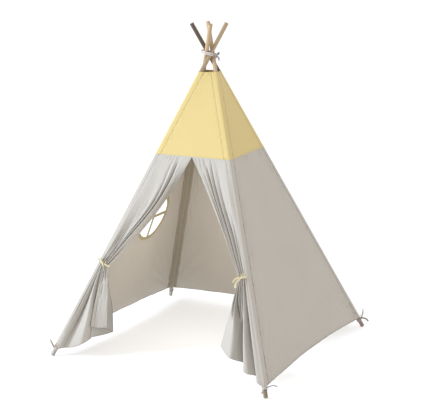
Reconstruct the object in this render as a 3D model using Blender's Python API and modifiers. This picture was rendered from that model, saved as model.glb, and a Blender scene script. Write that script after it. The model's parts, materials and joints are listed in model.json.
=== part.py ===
"""A kids' teepee: four round wooden poles lashed at the top, and a sewn cotton cover.

The poles cross at the lashing, and each one swings in its own upright plane there, so
the teepee folds like an umbrella. The cover is cut into panels at its seams. Each panel
that spans two poles is in two pieces, one carried by each pole. Metres, +Z up, the
origin on the floor at the middle of the four feet, -Y the doorway.
"""

import math

import bmesh
import bpy
from mathutils import Euler, Vector

# The frame's driving sizes
FOOT_SPACING_ACROSS = 1.18
FOOT_SPACING_DEEP = 1.12
CROSSING_HEIGHT = 1.453
POLE_LENGTH = 1.83
POLE_LOWER_LENGTH = 0.915
POLE_DIAMETER = 0.020
POLE_END_CHAMFER = 0.0012
POLE_CROSSING_GAP = 0.0015
FERRULE_LENGTH = 0.070
FERRULE_WALL = 0.0010
RUNNING_GAP = 0.0003
ROUND_SIDES = 16

# The cover
CLOTH = 0.0012
HEM_HEIGHT = 0.053
HEM_RISE = 0.020
SEAM_HEIGHT = 0.985
RIM_HEIGHT = 1.366
COVER_TO_POLE_GAP = 0.0008
SLEEVE_CLEARANCE = 0.0004
SLEEVE_SPAN = math.radians(164)
SLEEVE_STEPS = 8
SLEEVE_TO_TIE_GAP = 0.004
LEFT_WALL_SPLIT_SHARE = 0.30
MIDDLE_SPLIT_SHARE = 0.5

# The window in the left wall
WINDOW_RADIUS = 0.125
WINDOW_HEIGHT = 0.605
WINDOW_ACROSS_SHARE = 0.45
WINDOW_CUT_DEPTH = 0.060
WINDOW_SIDES = 32
BINDING_WIDTH = 0.008
BINDING_THICKNESS = 0.0036
RIBBON_WIDTH = 0.012
RIBBON_THICKNESS = 0.0008

# The curtains and their tie-backs
TIE_HEIGHT = 0.470
GATHER_WIDTH = 0.062
POLE_ROOM_RAMP = 0.014
LEFT_CURTAIN_DROP = 0.325
LEFT_CURTAIN_TUCK = 0.010
LEFT_CURTAIN_DIP = 0.030
LEFT_CURTAIN_SAG = 0.030
RIGHT_CURTAIN_DROP = 0.340
RIGHT_CURTAIN_SWING = 0.085
RIGHT_CURTAIN_TUCK = 0.030
RIGHT_CURTAIN_DIP = 0.010
RIGHT_CURTAIN_SAG = 0.012
CURTAIN_COLUMNS = 32
CURTAIN_ROWS = 16
TIE_ROW_SHARE = 9 / CURTAIN_ROWS
TIE_BAND_WIDTH = 0.009
TIE_BAND_THICKNESS = 0.0010
TIE_KNOT_SIZE = 0.011
TIE_TAIL_LENGTH = 0.045

# The tapes that tie the cover to the feet
CORNER_TIE_WIDTH = 0.009
CORNER_TIE_THICKNESS = 0.0012
CORNER_TIE_DROP = 0.0135
CORNER_KNOT_SIZE = 0.008
CORNER_TAIL_LENGTH = 0.055

# The lashing round the crossing
LASHING_WIDTH = 0.014
LASHING_THICKNESS = 0.0016
LASHING_SIDES = 32
LASHING_KNOT_SIZE = 0.015
LASHING_TAIL_LENGTH = 0.040
LASHING_KNOT_ANGLE = math.radians(5)

MERGE = 0.0001

CORNERS = (
    ("front_left", -1, -1),
    ("front_right", 1, -1),
    ("back_right", 1, 1),
    ("back_left", -1, 1),
)
SIDES = ("front", "right", "back", "left")
FRONT, RIGHT, BACK, LEFT = range(4)

POLE_RADIUS = POLE_DIAMETER / 2
HALF_DIAGONAL = math.hypot(FOOT_SPACING_ACROSS, FOOT_SPACING_DEEP) / 2
TILT = math.atan2(HALF_DIAGONAL, CROSSING_HEIGHT)
JOINT = Vector((0, 0, CROSSING_HEIGHT))
COVER_OFFSET = (POLE_RADIUS + COVER_TO_POLE_GAP) / math.cos(TILT)
POLE_ROOM = COVER_OFFSET + POLE_RADIUS + SLEEVE_CLEARANCE + CLOTH * 2 + RUNNING_GAP


def outward(corner):
    """The level direction from the middle of the teepee to a foot."""
    _, sx, sy = CORNERS[corner % 4]
    return Vector((sx * FOOT_SPACING_ACROSS, sy * FOOT_SPACING_DEEP, 0)).normalized()


def sideways(corner):
    """The level direction square to outward, anticlockwise seen from above."""
    out = outward(corner)
    return Vector((-out.y, out.x, 0))


def up_pole(corner):
    """The direction up a pole, from its foot to the crossing."""
    return Vector((0, 0, math.cos(TILT))) - outward(corner) * math.sin(TILT)


def swirl_offset():
    """How far each pole passes beside the middle, so that neighbours clear each other."""
    reach = []
    for corner in range(4):
        across = up_pole(corner).cross(up_pole(corner + 1)).normalized()
        reach.append(abs((sideways(corner) - sideways(corner + 1)).dot(across)))
    return (POLE_DIAMETER + POLE_CROSSING_GAP) / min(reach)


SWIRL = swirl_offset()
FOOT_BELOW_JOINT = (
    CROSSING_HEIGHT - (POLE_RADIUS - POLE_END_CHAMFER) * math.sin(TILT)
) / math.cos(TILT)


def axis_point(corner, height):
    """The middle of a pole at a height above the floor."""
    run = (CROSSING_HEIGHT - height) * math.tan(TILT)
    place = outward(corner) * run + sideways(corner) * SWIRL
    return Vector((place.x, place.y, height))


def cover_corner(corner, height):
    """Where the inner faces of two walls meet, just outside the pole."""
    before, here, after = (axis_point(corner + step, height) for step in (-1, 0, 1))
    along_in, along_out = (here - before).normalized(), (after - here).normalized()
    face_in = Vector((along_in.y, -along_in.x, 0))
    face_out = Vector((along_out.y, -along_out.x, 0))
    return here + (face_in + face_out) * (COVER_OFFSET / (1 + face_in.dot(face_out)))


def side_frame(side, height):
    """The two ends of a side's inner face at a height, and its level directions."""
    start, end = cover_corner(side, height), cover_corner(side + 1, height)
    along = (end - start).normalized()
    return start, end, along, Vector((along.y, -along.x, 0))


def side_point(side, share, height, inset=0.0):
    """A point on a side's inner face, a share of the way along it."""
    start, end, along, _ = side_frame(side, height)
    return start.lerp(end, share) + along * inset


def hem_height(share):
    """The hem rises a little between the feet."""
    return HEM_HEIGHT + HEM_RISE * 4 * share * (1 - share)


def smooth(points, share):
    """A smooth curve through points at even shares, for numbers or vectors."""
    spans = len(points) - 1
    place = min(max(share, 0), 1) * spans
    first = min(int(place), spans - 1)
    t = place - first
    p1, p2 = points[first], points[first + 1]
    p0 = points[first - 1] if first else p1 * 2 - p2
    p3 = points[first + 2] if first + 2 <= spans else p2 * 2 - p1
    slope = p0 * -1 + p2
    bend = p0 * 2 - p1 * 5 + p2 * 4 - p3
    twist = p0 * -1 + p1 * 3 - p2 * 3 + p3
    return (p1 * 2 + slope * t + bend * (t * t) + twist * (t**3)) * 0.5


# Collections and materials

def fresh_scene():
    for thing in list(bpy.data.objects):
        bpy.data.objects.remove(thing, do_unlink=True)
    made = []
    for name in ("kids_teepee", "cutters"):
        group = bpy.data.collections.new(name)
        bpy.context.scene.collection.children.link(group)
        made.append(group)
    return made


def finish_material(name, colour, roughness):
    material = bpy.data.materials.new(name)
    material.use_nodes = True
    shader = material.node_tree.nodes["Principled BSDF"]
    shader.inputs["Base Color"].default_value = (*colour, 1)
    shader.inputs["Roughness"].default_value = roughness
    return material


PARTS, CUTTERS = fresh_scene()
PALE_WOOD = finish_material("pale_wood", (0.58, 0.40, 0.22), 0.6)
GREY_COTTON = finish_material("grey_cotton", (0.60, 0.56, 0.51), 0.9)
YELLOW_COTTON = finish_material("yellow_cotton", (0.92, 0.74, 0.33), 0.9)
OLIVE_TAPE = finish_material("olive_tape", (0.56, 0.50, 0.24), 0.85)
CREAM_RIBBON = finish_material("cream_ribbon", (0.86, 0.76, 0.42), 0.8)
WHITE_TAPE = finish_material("white_tape", (0.62, 0.56, 0.52), 0.85)
ALUMINIUM = finish_material("aluminium", (0.72, 0.72, 0.74), 0.35)
ALUMINIUM.node_tree.nodes["Principled BSDF"].inputs["Metallic"].default_value = 1


def leg_empty(corner):
    """The pivot that one leg's pieces hang from, on its joint's axis."""
    empty = bpy.data.objects.new(CORNERS[corner][0] + "_pivot", None)
    empty.location = JOINT
    PARTS.objects.link(empty)
    return empty


PIVOTS = [leg_empty(corner) for corner in range(4)]


def add_object(name, mesh, material, corner=None, group=None):
    thing = bpy.data.objects.new(name, mesh)
    (group or PARTS).objects.link(thing)
    if material:
        mesh.materials.append(material)
    if corner is not None:
        thing.parent = PIVOTS[corner]
    if group is CUTTERS:
        thing.hide_render = True
        thing.display_type = "WIRE"
    return thing


def mapped_grid(name, columns, rows, place):
    """A unit grid, each corner of it moved to place(across, up)."""
    work = bmesh.new()
    bmesh.ops.create_grid(work, x_segments=columns, y_segments=rows, size=0.5)
    for vert in work.verts:
        vert.co = place(vert.co.x + 0.5, vert.co.y + 0.5)
    mesh = bpy.data.meshes.new(name)
    work.to_mesh(mesh)
    work.free()
    return mesh


def thicken(thing, thickness, offset=1):
    shell = thing.modifiers.new("thickness", "SOLIDIFY")
    shell.thickness = thickness
    shell.offset = offset
    return shell


def turned(name, profile, material, corner, sides=ROUND_SIDES, closed=False, angle=None):
    """A profile of (radius, height) points, top to bottom down its outer side, turned."""
    mesh = bpy.data.meshes.new(name)
    edges = [(i, i + 1) for i in range(len(profile) - 1)]
    if closed:
        edges.append((len(profile) - 1, 0))
    mesh.from_pydata([(radius, 0, height) for radius, height in profile], edges, [])
    thing = add_object(name, mesh, material, corner)
    turn = thing.modifiers.new("turned", "SCREW")
    turn.axis = "Z"
    turn.angle = angle or 2 * math.pi
    turn.steps = turn.render_steps = sides
    turn.use_merge_vertices = angle is None
    turn.merge_threshold = MERGE
    turn.use_smooth_shade = True
    return thing


def stand_on_pole(thing, corner):
    """Local Z runs up the pole from the crossing, and local X points outward."""
    thing.location = sideways(corner) * SWIRL
    out = outward(corner)
    thing.rotation_euler = Euler((0, -TILT, math.atan2(out.y, out.x)))


def joined(thing, *others):
    """Boolean unions of other closed pieces into thing."""
    for other in others:
        other.hide_render = True
        other.display_type = "WIRE"
        union = thing.modifiers.new("join_" + other.name, "BOOLEAN")
        union.operation = "UNION"
        union.solver = "EXACT"
        union.object = other


# The frame: poles, joining tubes and sleeves

def make_pole(corner):
    name = CORNERS[corner][0]
    foot = -FOOT_BELOW_JOINT
    middle = foot + POLE_LOWER_LENGTH
    top = foot + POLE_LENGTH
    full, small = POLE_RADIUS, POLE_RADIUS - FERRULE_WALL - RUNNING_GAP
    half = FERRULE_LENGTH / 2
    end = POLE_END_CHAMFER
    lower = turned(
        name + "_pole_lower",
        [
            (0, middle - RUNNING_GAP / 2),
            (small, middle - RUNNING_GAP / 2),
            (small, middle - half - RUNNING_GAP),
            (full, middle - half - RUNNING_GAP),
            (full, foot + end),
            (full - end, foot),
            (0, foot),
        ],
        PALE_WOOD,
        corner,
    )
    upper = turned(
        name + "_pole_upper",
        [
            (0, top),
            (full - end, top),
            (full, top - end),
            (full, middle + half + RUNNING_GAP),
            (small, middle + half + RUNNING_GAP),
            (small, middle + RUNNING_GAP / 2),
            (0, middle + RUNNING_GAP / 2),
        ],
        PALE_WOOD,
        corner,
    )
    bore = POLE_RADIUS - FERRULE_WALL
    ferrule = turned(
        name + "_ferrule",
        [
            (full, middle + half),
            (full, middle - half),
            (bore, middle - half),
            (bore, middle + half),
        ],
        ALUMINIUM,
        corner,
        closed=True,
    )
    for thing in (lower, upper, ferrule):
        stand_on_pole(thing, corner)


def down_pole(height):
    """How far below the crossing a height lies, measured along the pole."""
    return (CROSSING_HEIGHT - height) / math.cos(TILT)


def make_sleeve(corner):
    """The pocket strip that holds the pole inside the corner of the cover."""
    inner = POLE_RADIUS + SLEEVE_CLEARANCE
    low = -down_pole(HEM_HEIGHT) + SLEEVE_TO_TIE_GAP
    high = -down_pole(RIM_HEIGHT)
    strip = turned(
        CORNERS[corner][0] + "_sleeve",
        [(inner, high), (inner, low)],
        GREY_COTTON,
        corner,
        sides=SLEEVE_STEPS,
        angle=SLEEVE_SPAN,
    )
    thicken(strip, CLOTH)
    stand_on_pole(strip, corner)
    out = outward(corner)
    turn = math.atan2(out.y, out.x)
    spin = Euler((0, -TILT, turn)).to_matrix() @ Euler((0, 0, math.pi - SLEEVE_SPAN / 2)).to_matrix()
    strip.rotation_euler = spin.to_euler()


# The cover's flat panels

def make_panel(name, side, share_from, share_to, low, high, material, corner, columns, rows):
    """A thin panel on one side, between two shares of its width."""

    def place(across, up):
        share = share_from + (share_to - share_from) * across
        bottom, top = low(share), high(share)
        height = bottom + (top - bottom) * up
        inset = RUNNING_GAP * (1 - 2 * across)
        return side_point(side, share, height, inset) - JOINT

    thing = add_object(name, mapped_grid(name, columns, rows, place), material, corner)
    thicken(thing, CLOTH)
    return thing


def under_seam(_):
    return SEAM_HEIGHT - RUNNING_GAP / 2


def over_seam(_):
    return SEAM_HEIGHT + RUNNING_GAP / 2


def at_rim(_):
    return RIM_HEIGHT


def make_walls():
    """The right, back and left walls, each in a piece for either pole."""
    for side in (RIGHT, BACK, LEFT):
        split = LEFT_WALL_SPLIT_SHARE if side == LEFT else MIDDLE_SPLIT_SHARE
        if side == LEFT:
            split = 1 - split
        ends = ((0, split, side), (split, 1, (side + 1) % 4))
        for share_from, share_to, corner in ends:
            name = f"{SIDES[side]}_wall_{CORNERS[corner][0]}"
            make_panel(
                name, side, share_from, share_to, hem_height, under_seam,
                GREY_COTTON, corner, 4, 5,
            )


def make_tops():
    """The yellow top panels."""
    for side in range(4):
        ends = ((0, MIDDLE_SPLIT_SHARE, side), (MIDDLE_SPLIT_SHARE, 1, (side + 1) % 4))
        for share_from, share_to, corner in ends:
            name = f"{SIDES[side]}_top_{CORNERS[corner][0]}"
            make_panel(
                name, side, share_from, share_to, over_seam, at_rim,
                YELLOW_COTTON, corner, 2, 10,
            )


# The window

def window_frame():
    """The window's centre, and its level, slope and outward directions."""
    share = WINDOW_ACROSS_SHARE
    centre = side_point(LEFT, share, WINDOW_HEIGHT)
    below = side_point(LEFT, share, WINDOW_HEIGHT - WINDOW_RADIUS)
    above = side_point(LEFT, share, WINDOW_HEIGHT + WINDOW_RADIUS)
    slope = (above - below).normalized()
    level = side_frame(LEFT, WINDOW_HEIGHT)[2]
    face = level.cross(slope).normalized()
    return centre + face * (CLOTH / 2), level, slope, face


def window_place(across, up, lift):
    centre, level, slope, face = window_frame()
    return centre + level * across + slope * up + face * lift - JOINT


def make_window(wall):
    centre, level, slope, face = window_frame()
    spin = face.to_track_quat("Z", "Y")
    work = bmesh.new()
    bmesh.ops.create_cone(
        work, cap_ends=True, segments=WINDOW_SIDES, radius1=WINDOW_RADIUS,
        radius2=WINDOW_RADIUS, depth=WINDOW_CUT_DEPTH,
    )
    mesh = bpy.data.meshes.new("window_cutter")
    work.to_mesh(mesh)
    work.free()
    cutter = add_object("window_cutter", mesh, None, None, CUTTERS)
    cutter.location = centre
    cutter.rotation_euler = spin.to_euler()
    hole = wall.modifiers.new("window", "BOOLEAN")
    hole.operation = "DIFFERENCE"
    hole.solver = "EXACT"
    hole.object = cutter

    outer = WINDOW_RADIUS - RUNNING_GAP
    inner = WINDOW_RADIUS - BINDING_WIDTH
    half = BINDING_THICKNESS / 2
    corner = 3
    binding = turned(
        "window_binding",
        [(outer, half), (outer, -half), (inner, -half), (inner, half)],
        OLIVE_TAPE, corner, sides=WINDOW_SIDES, closed=True,
    )
    binding.location = centre - JOINT
    binding.rotation_euler = spin.to_euler()

    facet = math.cos(math.pi / WINDOW_SIDES)
    edge = math.sqrt((inner * facet) ** 2 - (RIBBON_WIDTH / 2) ** 2)
    length = edge - RUNNING_GAP
    layer = (RIBBON_THICKNESS + RUNNING_GAP) / 2
    for name, upright, lift in (
        ("window_upright_ribbon", True, -layer),
        ("window_level_ribbon", False, layer),
    ):

        def place(across, up, upright=upright, lift=lift):
            wide = (across - 0.5) * RIBBON_WIDTH
            long = (up - 0.5) * 2 * length
            return window_place(wide, long, lift) if upright else window_place(long, -wide, lift)

        ribbon = add_object(name, mapped_grid(name, 1, 6, place), OLIVE_TAPE, corner)
        thicken(ribbon, RIBBON_THICKNESS, 0)


# The curtains, drawn back and gathered in their tie-backs

# Each row gives its place from the seam to the tie or from the tie to the hem, and then
# its fold points from the pole to the free edge: how far along the row, and how far out.
FOLD_DEPTH = 0.020
EVEN_SHARES = (0, .125, .25, .375, .5, .625, .75, .875, 1)
FLAT_SHARES = (0,) * 9
TIED_SHARES = ((0, .22, .40, .50, .60, .70, .80, .90, 1), (0, .1, -.1, .3, -.35, .4, -.4, .35, -.3))
LEFT_FOLD_SHARES = {
    "seam": (EVEN_SHARES, FLAT_SHARES),
    "upper": ((0, .15, .34, .52, .66, .75, .81, .90, 1), (0, .2, -.5, -.1, -.9, 1, -1.2, .1, -.5)),
    "above": ((0, .14, .30, .42, .54, .66, .75, .88, 1), (0, .1, -.5, .3, -.7, .7, -.8, .2, -.5)),
    "tie": TIED_SHARES,
    "below": ((0, .15, .28, .40, .52, .62, .73, .88, 1), (0, .2, -.6, .4, -.8, .5, -.7, .4, -.8)),
    "lower": ((0, .14, .26, .42, .54, .63, .70, .90, 1), (0, .4, -1.2, .8, -1.4, .8, -.7, .6, -1.7)),
    "hem": ((0, .13, .28, .42, .53, .61, .68, .92, 1), (0, .5, -1, 1.1, -1.2, 1, -.4, .9, -2.2)),
}
RIGHT_FOLD_SHARES = {
    "seam": (EVEN_SHARES, FLAT_SHARES),
    "upper": ((0, .15, .30, .46, .58, .70, .80, .90, 1), (0, .2, -.5, .4, -.8, .7, -.9, .4, -.5)),
    "above": ((0, .14, .28, .42, .54, .66, .77, .88, 1), (0, .1, -.5, .4, -.7, .6, -.7, .4, -.5)),
    "tie": TIED_SHARES,
    "below": ((0, .16, .28, .40, .52, .62, .74, .88, 1), (0, .2, -.6, .4, -.8, .5, -.7, .4, -.6)),
    "lower": ((0, .15, .28, .38, .49, .61, .75, .90, 1), (0, .4, -1.0, .8, -1.1, .4, -1, .8, -.9)),
    "hem": ((0, .16, .30, .41, .53, .64, .76, .92, 1), (0, .6, -.8, 1.1, -1.1, -.2, -1.2, 1.1, -.6)),
}
UPPER_ROWS = ("seam", "upper", "above", "tie")
LOWER_ROWS = ("tie", "below", "lower", "hem")


class Curtain:
    """One front curtain: where its edges run, and how its cloth folds between them."""

    def __init__(self, corner, folds, drop, swing, tuck, dip, sag):
        self.corner = corner
        self.folds = folds
        self.toward = 1 if corner == FRONT else -1
        self.pole_share = 0 if corner == FRONT else 1
        self.drop, self.swing, self.tuck = drop, swing, tuck
        self.dip, self.sag = dip, sag

    def pole_edge(self, height):
        inset = RUNNING_GAP * self.toward
        return side_point(FRONT, self.pole_share, height, inset)

    def level(self, height):
        return side_frame(FRONT, height)[2] * self.toward

    def outward(self, height):
        return side_frame(FRONT, height)[3]

    def square_to_pole(self):
        """Across the curtain at the tie, square to the pole."""
        along = self.level(TIE_HEIGHT)
        pole = up_pole(self.corner)
        return (along - pole * along.dot(pole)).normalized()

    def tie_point(self):
        return self.pole_edge(TIE_HEIGHT) + self.square_to_pole() * GATHER_WIDTH

    def free_edge(self, down):
        """The free edge: seam to tie as down goes 0 to TIE_ROW_SHARE, then to the hem."""
        tie = self.tie_point()
        if down <= TIE_ROW_SHARE:
            t = down / TIE_ROW_SHARE
            top = side_point(FRONT, MIDDLE_SPLIT_SHARE, under_seam(0), -RUNNING_GAP * self.toward)
            bow = math.sin(math.pi * t)
            return top.lerp(tie, t) + self.level(TIE_HEIGHT) * (self.sag * bow)
        t = (down - TIE_ROW_SHARE) / (1 - TIE_ROW_SHARE)
        swing = self.level(TIE_HEIGHT) * (self.swing * t**1.3)
        tuck = self.outward(TIE_HEIGHT) * (self.tuck * t)
        return tie + swing + tuck - Vector((0, 0, self.drop * t))

    def edge_height(self, down):
        if down <= TIE_ROW_SHARE:
            t = down / TIE_ROW_SHARE
            return under_seam(0) + (TIE_HEIGHT - under_seam(0)) * t
        t = (down - TIE_ROW_SHARE) / (1 - TIE_ROW_SHARE)
        return TIE_HEIGHT + (HEM_HEIGHT - TIE_HEIGHT) * t

    def fold(self, down, across, which):
        upper = down <= TIE_ROW_SHARE
        rows = UPPER_ROWS if upper else LOWER_ROWS
        if upper:
            t = down / TIE_ROW_SHARE
        else:
            t = (down - TIE_ROW_SHARE) / (1 - TIE_ROW_SHARE)
        return smooth([smooth(self.folds[row][which], across) for row in rows], t)

    def place(self, across, down):
        """A point of the cloth, from pole to free edge and from seam to hem."""
        pole, free = self.pole_edge(self.edge_height(down)), self.free_edge(down)
        chord = free - pole
        along = self.fold(down, across, 0)
        point = pole + chord * along
        if down > TIE_ROW_SHARE:
            t = (down - TIE_ROW_SHARE) / (1 - TIE_ROW_SHARE)
            point.z -= self.dip * t * math.sin(math.pi * along)
        start = self.pole_edge(point.z)
        level, face = self.level(point.z), self.outward(point.z)
        beside = (point - start).dot(level)
        out = (point - start).dot(face) + self.fold(down, across, 1) * FOLD_DEPTH
        if out < 0:
            room = (beside - POLE_ROOM) / POLE_ROOM_RAMP
            out *= min(max(room, 0), 1)
        return start + level * beside + face * out


CURTAIN_SHAPES = (
    Curtain(
        0, LEFT_FOLD_SHARES, LEFT_CURTAIN_DROP, 0, LEFT_CURTAIN_TUCK,
        LEFT_CURTAIN_DIP, LEFT_CURTAIN_SAG,
    ),
    Curtain(
        1, RIGHT_FOLD_SHARES, RIGHT_CURTAIN_DROP, RIGHT_CURTAIN_SWING, RIGHT_CURTAIN_TUCK,
        RIGHT_CURTAIN_DIP, RIGHT_CURTAIN_SAG,
    ),
)


def make_curtain(shape):
    name = CORNERS[shape.corner][0] + "_curtain"

    def place(across, up):
        if shape.toward < 0:
            across = 1 - across
        return shape.place(across, 1 - up) - JOINT

    mesh = mapped_grid(name, CURTAIN_COLUMNS, CURTAIN_ROWS, place)
    curtain = add_object(name, mesh, GREY_COTTON, shape.corner)
    thicken(curtain, CLOTH)
    return curtain


# Ribbons, knots and bows

def make_ribbon(name, points, wide, width, thickness, steps, material, corner=None, group=None):
    """A flat ribbon along a smooth curve through points, its width along wide."""

    def place(across, up):
        return smooth(points, up) + wide * ((across - 0.5) * width) - JOINT

    thing = add_object(name, mapped_grid(name, 1, steps, place), material, corner, group)
    thicken(thing, thickness, 0)
    return thing


def make_knot(name, centre, size):
    """A round knot that the ribbons of a bow run into."""
    work = bmesh.new()
    bmesh.ops.create_icosphere(work, subdivisions=2, radius=size / 2)
    for vert in work.verts:
        vert.co += centre - JOINT
    mesh = bpy.data.meshes.new(name)
    work.to_mesh(mesh)
    work.free()
    return add_object(name, mesh, None, None, CUTTERS)


def bow_loop(centre, reach, open_by):
    """A loop's path: out from the knot and back, its two sides open_by apart."""
    shares = ((0.02, 0.08), (0.5, 0.42), (0.9, 0.34), (1, 0), (0.9, -0.34), (0.5, -0.42), (0.02, -0.08))
    return [centre + reach * far + open_by * apart for far, apart in shares]


def rest_on_pivot(*things):
    """Cutters and loose pieces that were placed about the joint move to it."""
    for thing in things:
        thing.location = JOINT


# The tie-backs

def tie_frame(shape):
    """The pole's middle at the tie, and directions across the curtain and out of it."""
    middle = axis_point(shape.corner, TIE_HEIGHT)
    across = shape.square_to_pole()
    out = across.cross(up_pole(shape.corner)) * shape.toward
    return middle, across, out.normalized(), up_pole(shape.corner)


# The band's path round the gathered cloth, from the corner over it and back under it to the
# sleeve: how far across, as a share of the gather, and how far out, as a share of a fold
TIE_BAND_SHARES = (
    (.01, .155), (.24, .22), (.40, .28), (.54, .49), (.66, .56), (.80, .58), (.93, .56),
    (1.03, .44), (1.10, .12), (1.10, -.3), (1.02, -.55), (.88, -.62), (.70, -.64), (.51, -.64),
    (.358, -.63),
)
TIE_KNOT_PLACE = 5


def make_tie_back(shape, loops, tails):
    name = CORNERS[shape.corner][0] + "_tie_back"
    middle, across, out, up = tie_frame(shape)
    edge = shape.pole_edge(TIE_HEIGHT) - middle
    near, face = edge.dot(across), edge.dot(out)
    path = [(near + GATHER_WIDTH * x, face + FOLD_DEPTH * y) for x, y in TIE_BAND_SHARES]
    points = [middle + across * x + out * y for x, y in path]
    band = make_ribbon(
        name, points, up, TIE_BAND_WIDTH, TIE_BAND_THICKNESS, 36, CREAM_RIBBON, shape.corner,
    )
    x, y = path[TIE_KNOT_PLACE]
    knot_at = middle + across * x + out * (y + TIE_KNOT_SIZE / 2)
    others = [make_knot(name + "_knot", knot_at, TIE_KNOT_SIZE)]
    for number, (x, y, z) in enumerate(loops):
        reach = (across * x + out * y + up * z) * TIE_TAIL_LENGTH
        side = reach.cross(out).normalized() * TIE_TAIL_LENGTH * 0.2
        others.append(make_ribbon(
            f"{name}_loop_{number}", bow_loop(knot_at, reach, side), out,
            TIE_BAND_WIDTH * 0.7, TIE_BAND_THICKNESS, 10, None, None, CUTTERS,
        ))
    for number, (x, y, z) in enumerate(tails):
        reach = (across * x + out * y + up * z) * TIE_TAIL_LENGTH
        droop = Vector((0, 0, -TIE_TAIL_LENGTH * 0.25))
        path = [knot_at, knot_at + reach * 0.5, knot_at + reach + droop]
        others.append(make_ribbon(
            f"{name}_tail_{number}", path, out.cross(reach).normalized(),
            TIE_BAND_WIDTH * 0.6, TIE_BAND_THICKNESS, 4, None, None, CUTTERS,
        ))
    rest_on_pivot(*others)
    joined(band, *others)


# The corner ties round the feet

def make_corner_tie(corner, tails):
    name = CORNERS[corner][0] + "_corner_tie"
    inner = POLE_RADIUS + SLEEVE_CLEARANCE
    outer = inner + CORNER_TIE_THICKNESS
    centre = -down_pole(HEM_HEIGHT) - CORNER_TIE_DROP
    half = CORNER_TIE_WIDTH / 2
    ring = turned(
        name,
        [
            (outer, centre + half), (outer, centre - half),
            (inner, centre - half), (inner, centre + half),
        ],
        WHITE_TAPE, corner, closed=True,
    )
    stand_on_pole(ring, corner)
    up, side = up_pole(corner), sideways(corner)
    out = side.cross(up).normalized()
    middle = JOINT + side * SWIRL + up * centre
    knot_at = middle + out * (inner + CORNER_KNOT_SIZE / 2)
    others = [make_knot(name + "_knot", knot_at, CORNER_KNOT_SIZE)]
    for number, (x, y, z) in enumerate(tails):
        reach = (side * x + out * y + Vector((0, 0, z))) * CORNER_TAIL_LENGTH
        droop = Vector((0, 0, -CORNER_TAIL_LENGTH * 0.12))
        path = [knot_at, knot_at + reach * 0.5 - droop, knot_at + reach + droop]
        others.append(make_ribbon(
            f"{name}_tail_{number}", path, out.cross(reach).normalized(),
            CORNER_TIE_WIDTH * 0.55, CORNER_TIE_THICKNESS, 4, None, None, CUTTERS,
        ))
    rest_on_pivot(*others)
    joined(ring, *others)


# The lashing that the four poles cross in

def bundle_radius(half_height):
    """The furthest that the crossing poles reach from the middle within the lashing."""
    lean = half_height * math.tan(TILT)
    reach = []
    for step in range(ROUND_SIDES * 2):
        turn = math.pi * step / ROUND_SIDES
        wide = lean + POLE_RADIUS / math.cos(TILT) * math.cos(turn)
        reach.append(math.hypot(wide, SWIRL + POLE_RADIUS * math.sin(turn)))
    return max(reach)


def make_lashing():
    half = LASHING_WIDTH / 2
    inner = (bundle_radius(half) + RUNNING_GAP) / math.cos(math.pi / LASHING_SIDES)
    outer = inner + LASHING_THICKNESS
    ring = turned(
        "apex_lashing",
        [(outer, half), (outer, -half), (inner, -half), (inner, half)],
        WHITE_TAPE, None, sides=LASHING_SIDES, closed=True,
    )
    ring.location = JOINT
    out = Vector((math.cos(LASHING_KNOT_ANGLE), math.sin(LASHING_KNOT_ANGLE), 0))
    side = Vector((-out.y, out.x, 0))
    up = Vector((0, 0, 1))
    knot_at = JOINT + out * (inner + LASHING_KNOT_SIZE * 0.5)
    others = [make_knot("lashing_knot", knot_at, LASHING_KNOT_SIZE)]
    for number, (x, y, z) in enumerate(LASHING_TAIL_SHARES):
        reach = (side * x + out * y + up * z) * LASHING_TAIL_LENGTH
        path = [knot_at, knot_at + reach * 0.5 + out * half * 0.5, knot_at + reach]
        others.append(make_ribbon(
            f"lashing_tail_{number}", path, out.cross(reach).normalized(),
            LASHING_WIDTH * 0.55, LASHING_THICKNESS, 4, None, None, CUTTERS,
        ))
    x, y, z = LASHING_LOOP_SHARES
    reach = (side * x + out * y + up * z) * LASHING_TAIL_LENGTH
    others.append(make_ribbon(
        "lashing_loop", bow_loop(knot_at, reach, side.cross(reach).normalized() * half), side,
        LASHING_WIDTH * 0.5, LASHING_THICKNESS, 10, None, None, CUTTERS,
    ))
    rest_on_pivot(*others)
    joined(ring, *others)


# How each bow lies: shares of its tail length across the curtain, out of it and up the pole
TIE_BACK_BOW_SHARES = (
    (((0.45, 0.15, 0.35), (-0.45, 0.2, 0.3)), ((0.6, 0.25, -0.35), (-0.62, 0.3, 0.35))),
    (((-0.35, 0.2, 0.3), (0.42, 0.2, 0.35)), ((0.85, 0.3, -0.1), (0.8, 0.35, -0.4))),
)
# How the lashing's tails and loop lie: shares of its tail length sideways, outward and up
LASHING_TAIL_SHARES = ((0.35, 0.25, -0.85), (-0.75, 0.25, -0.45))
LASHING_LOOP_SHARES = (0.33, 0.12, 0.36)
# How each corner tie's tails lie: shares of their length sideways, outward and up
CORNER_TIE_TAIL_SHARES = (
    ((-0.45, 0.35, 0.75), (0.35, 0.35, 0.55)),
    ((0.95, 0.30, 0.12), (-0.35, 0.20, -0.42)),
    ((-0.60, 0.55, -0.30), (0.55, 0.45, 0.50)),
    ((-0.75, 0.50, -0.25), (0.60, 0.45, 0.10)),
)

make_walls()
make_tops()
for each in range(4):
    make_pole(each)
    make_sleeve(each)
    make_corner_tie(each, CORNER_TIE_TAIL_SHARES[each])
make_window(bpy.data.objects["left_wall_back_left"])
for each, (bow_loops, bow_tails) in zip(CURTAIN_SHAPES, TIE_BACK_BOW_SHARES):
    make_curtain(each)
    make_tie_back(each, bow_loops, bow_tails)
make_lashing()
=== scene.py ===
"""A kids' teepee: the cotton cover, curtains, bows, poles and lashing, dressed over the frame."""
import json
import math

import bpy
import numpy as np
from mathutils import Matrix, Vector


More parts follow.
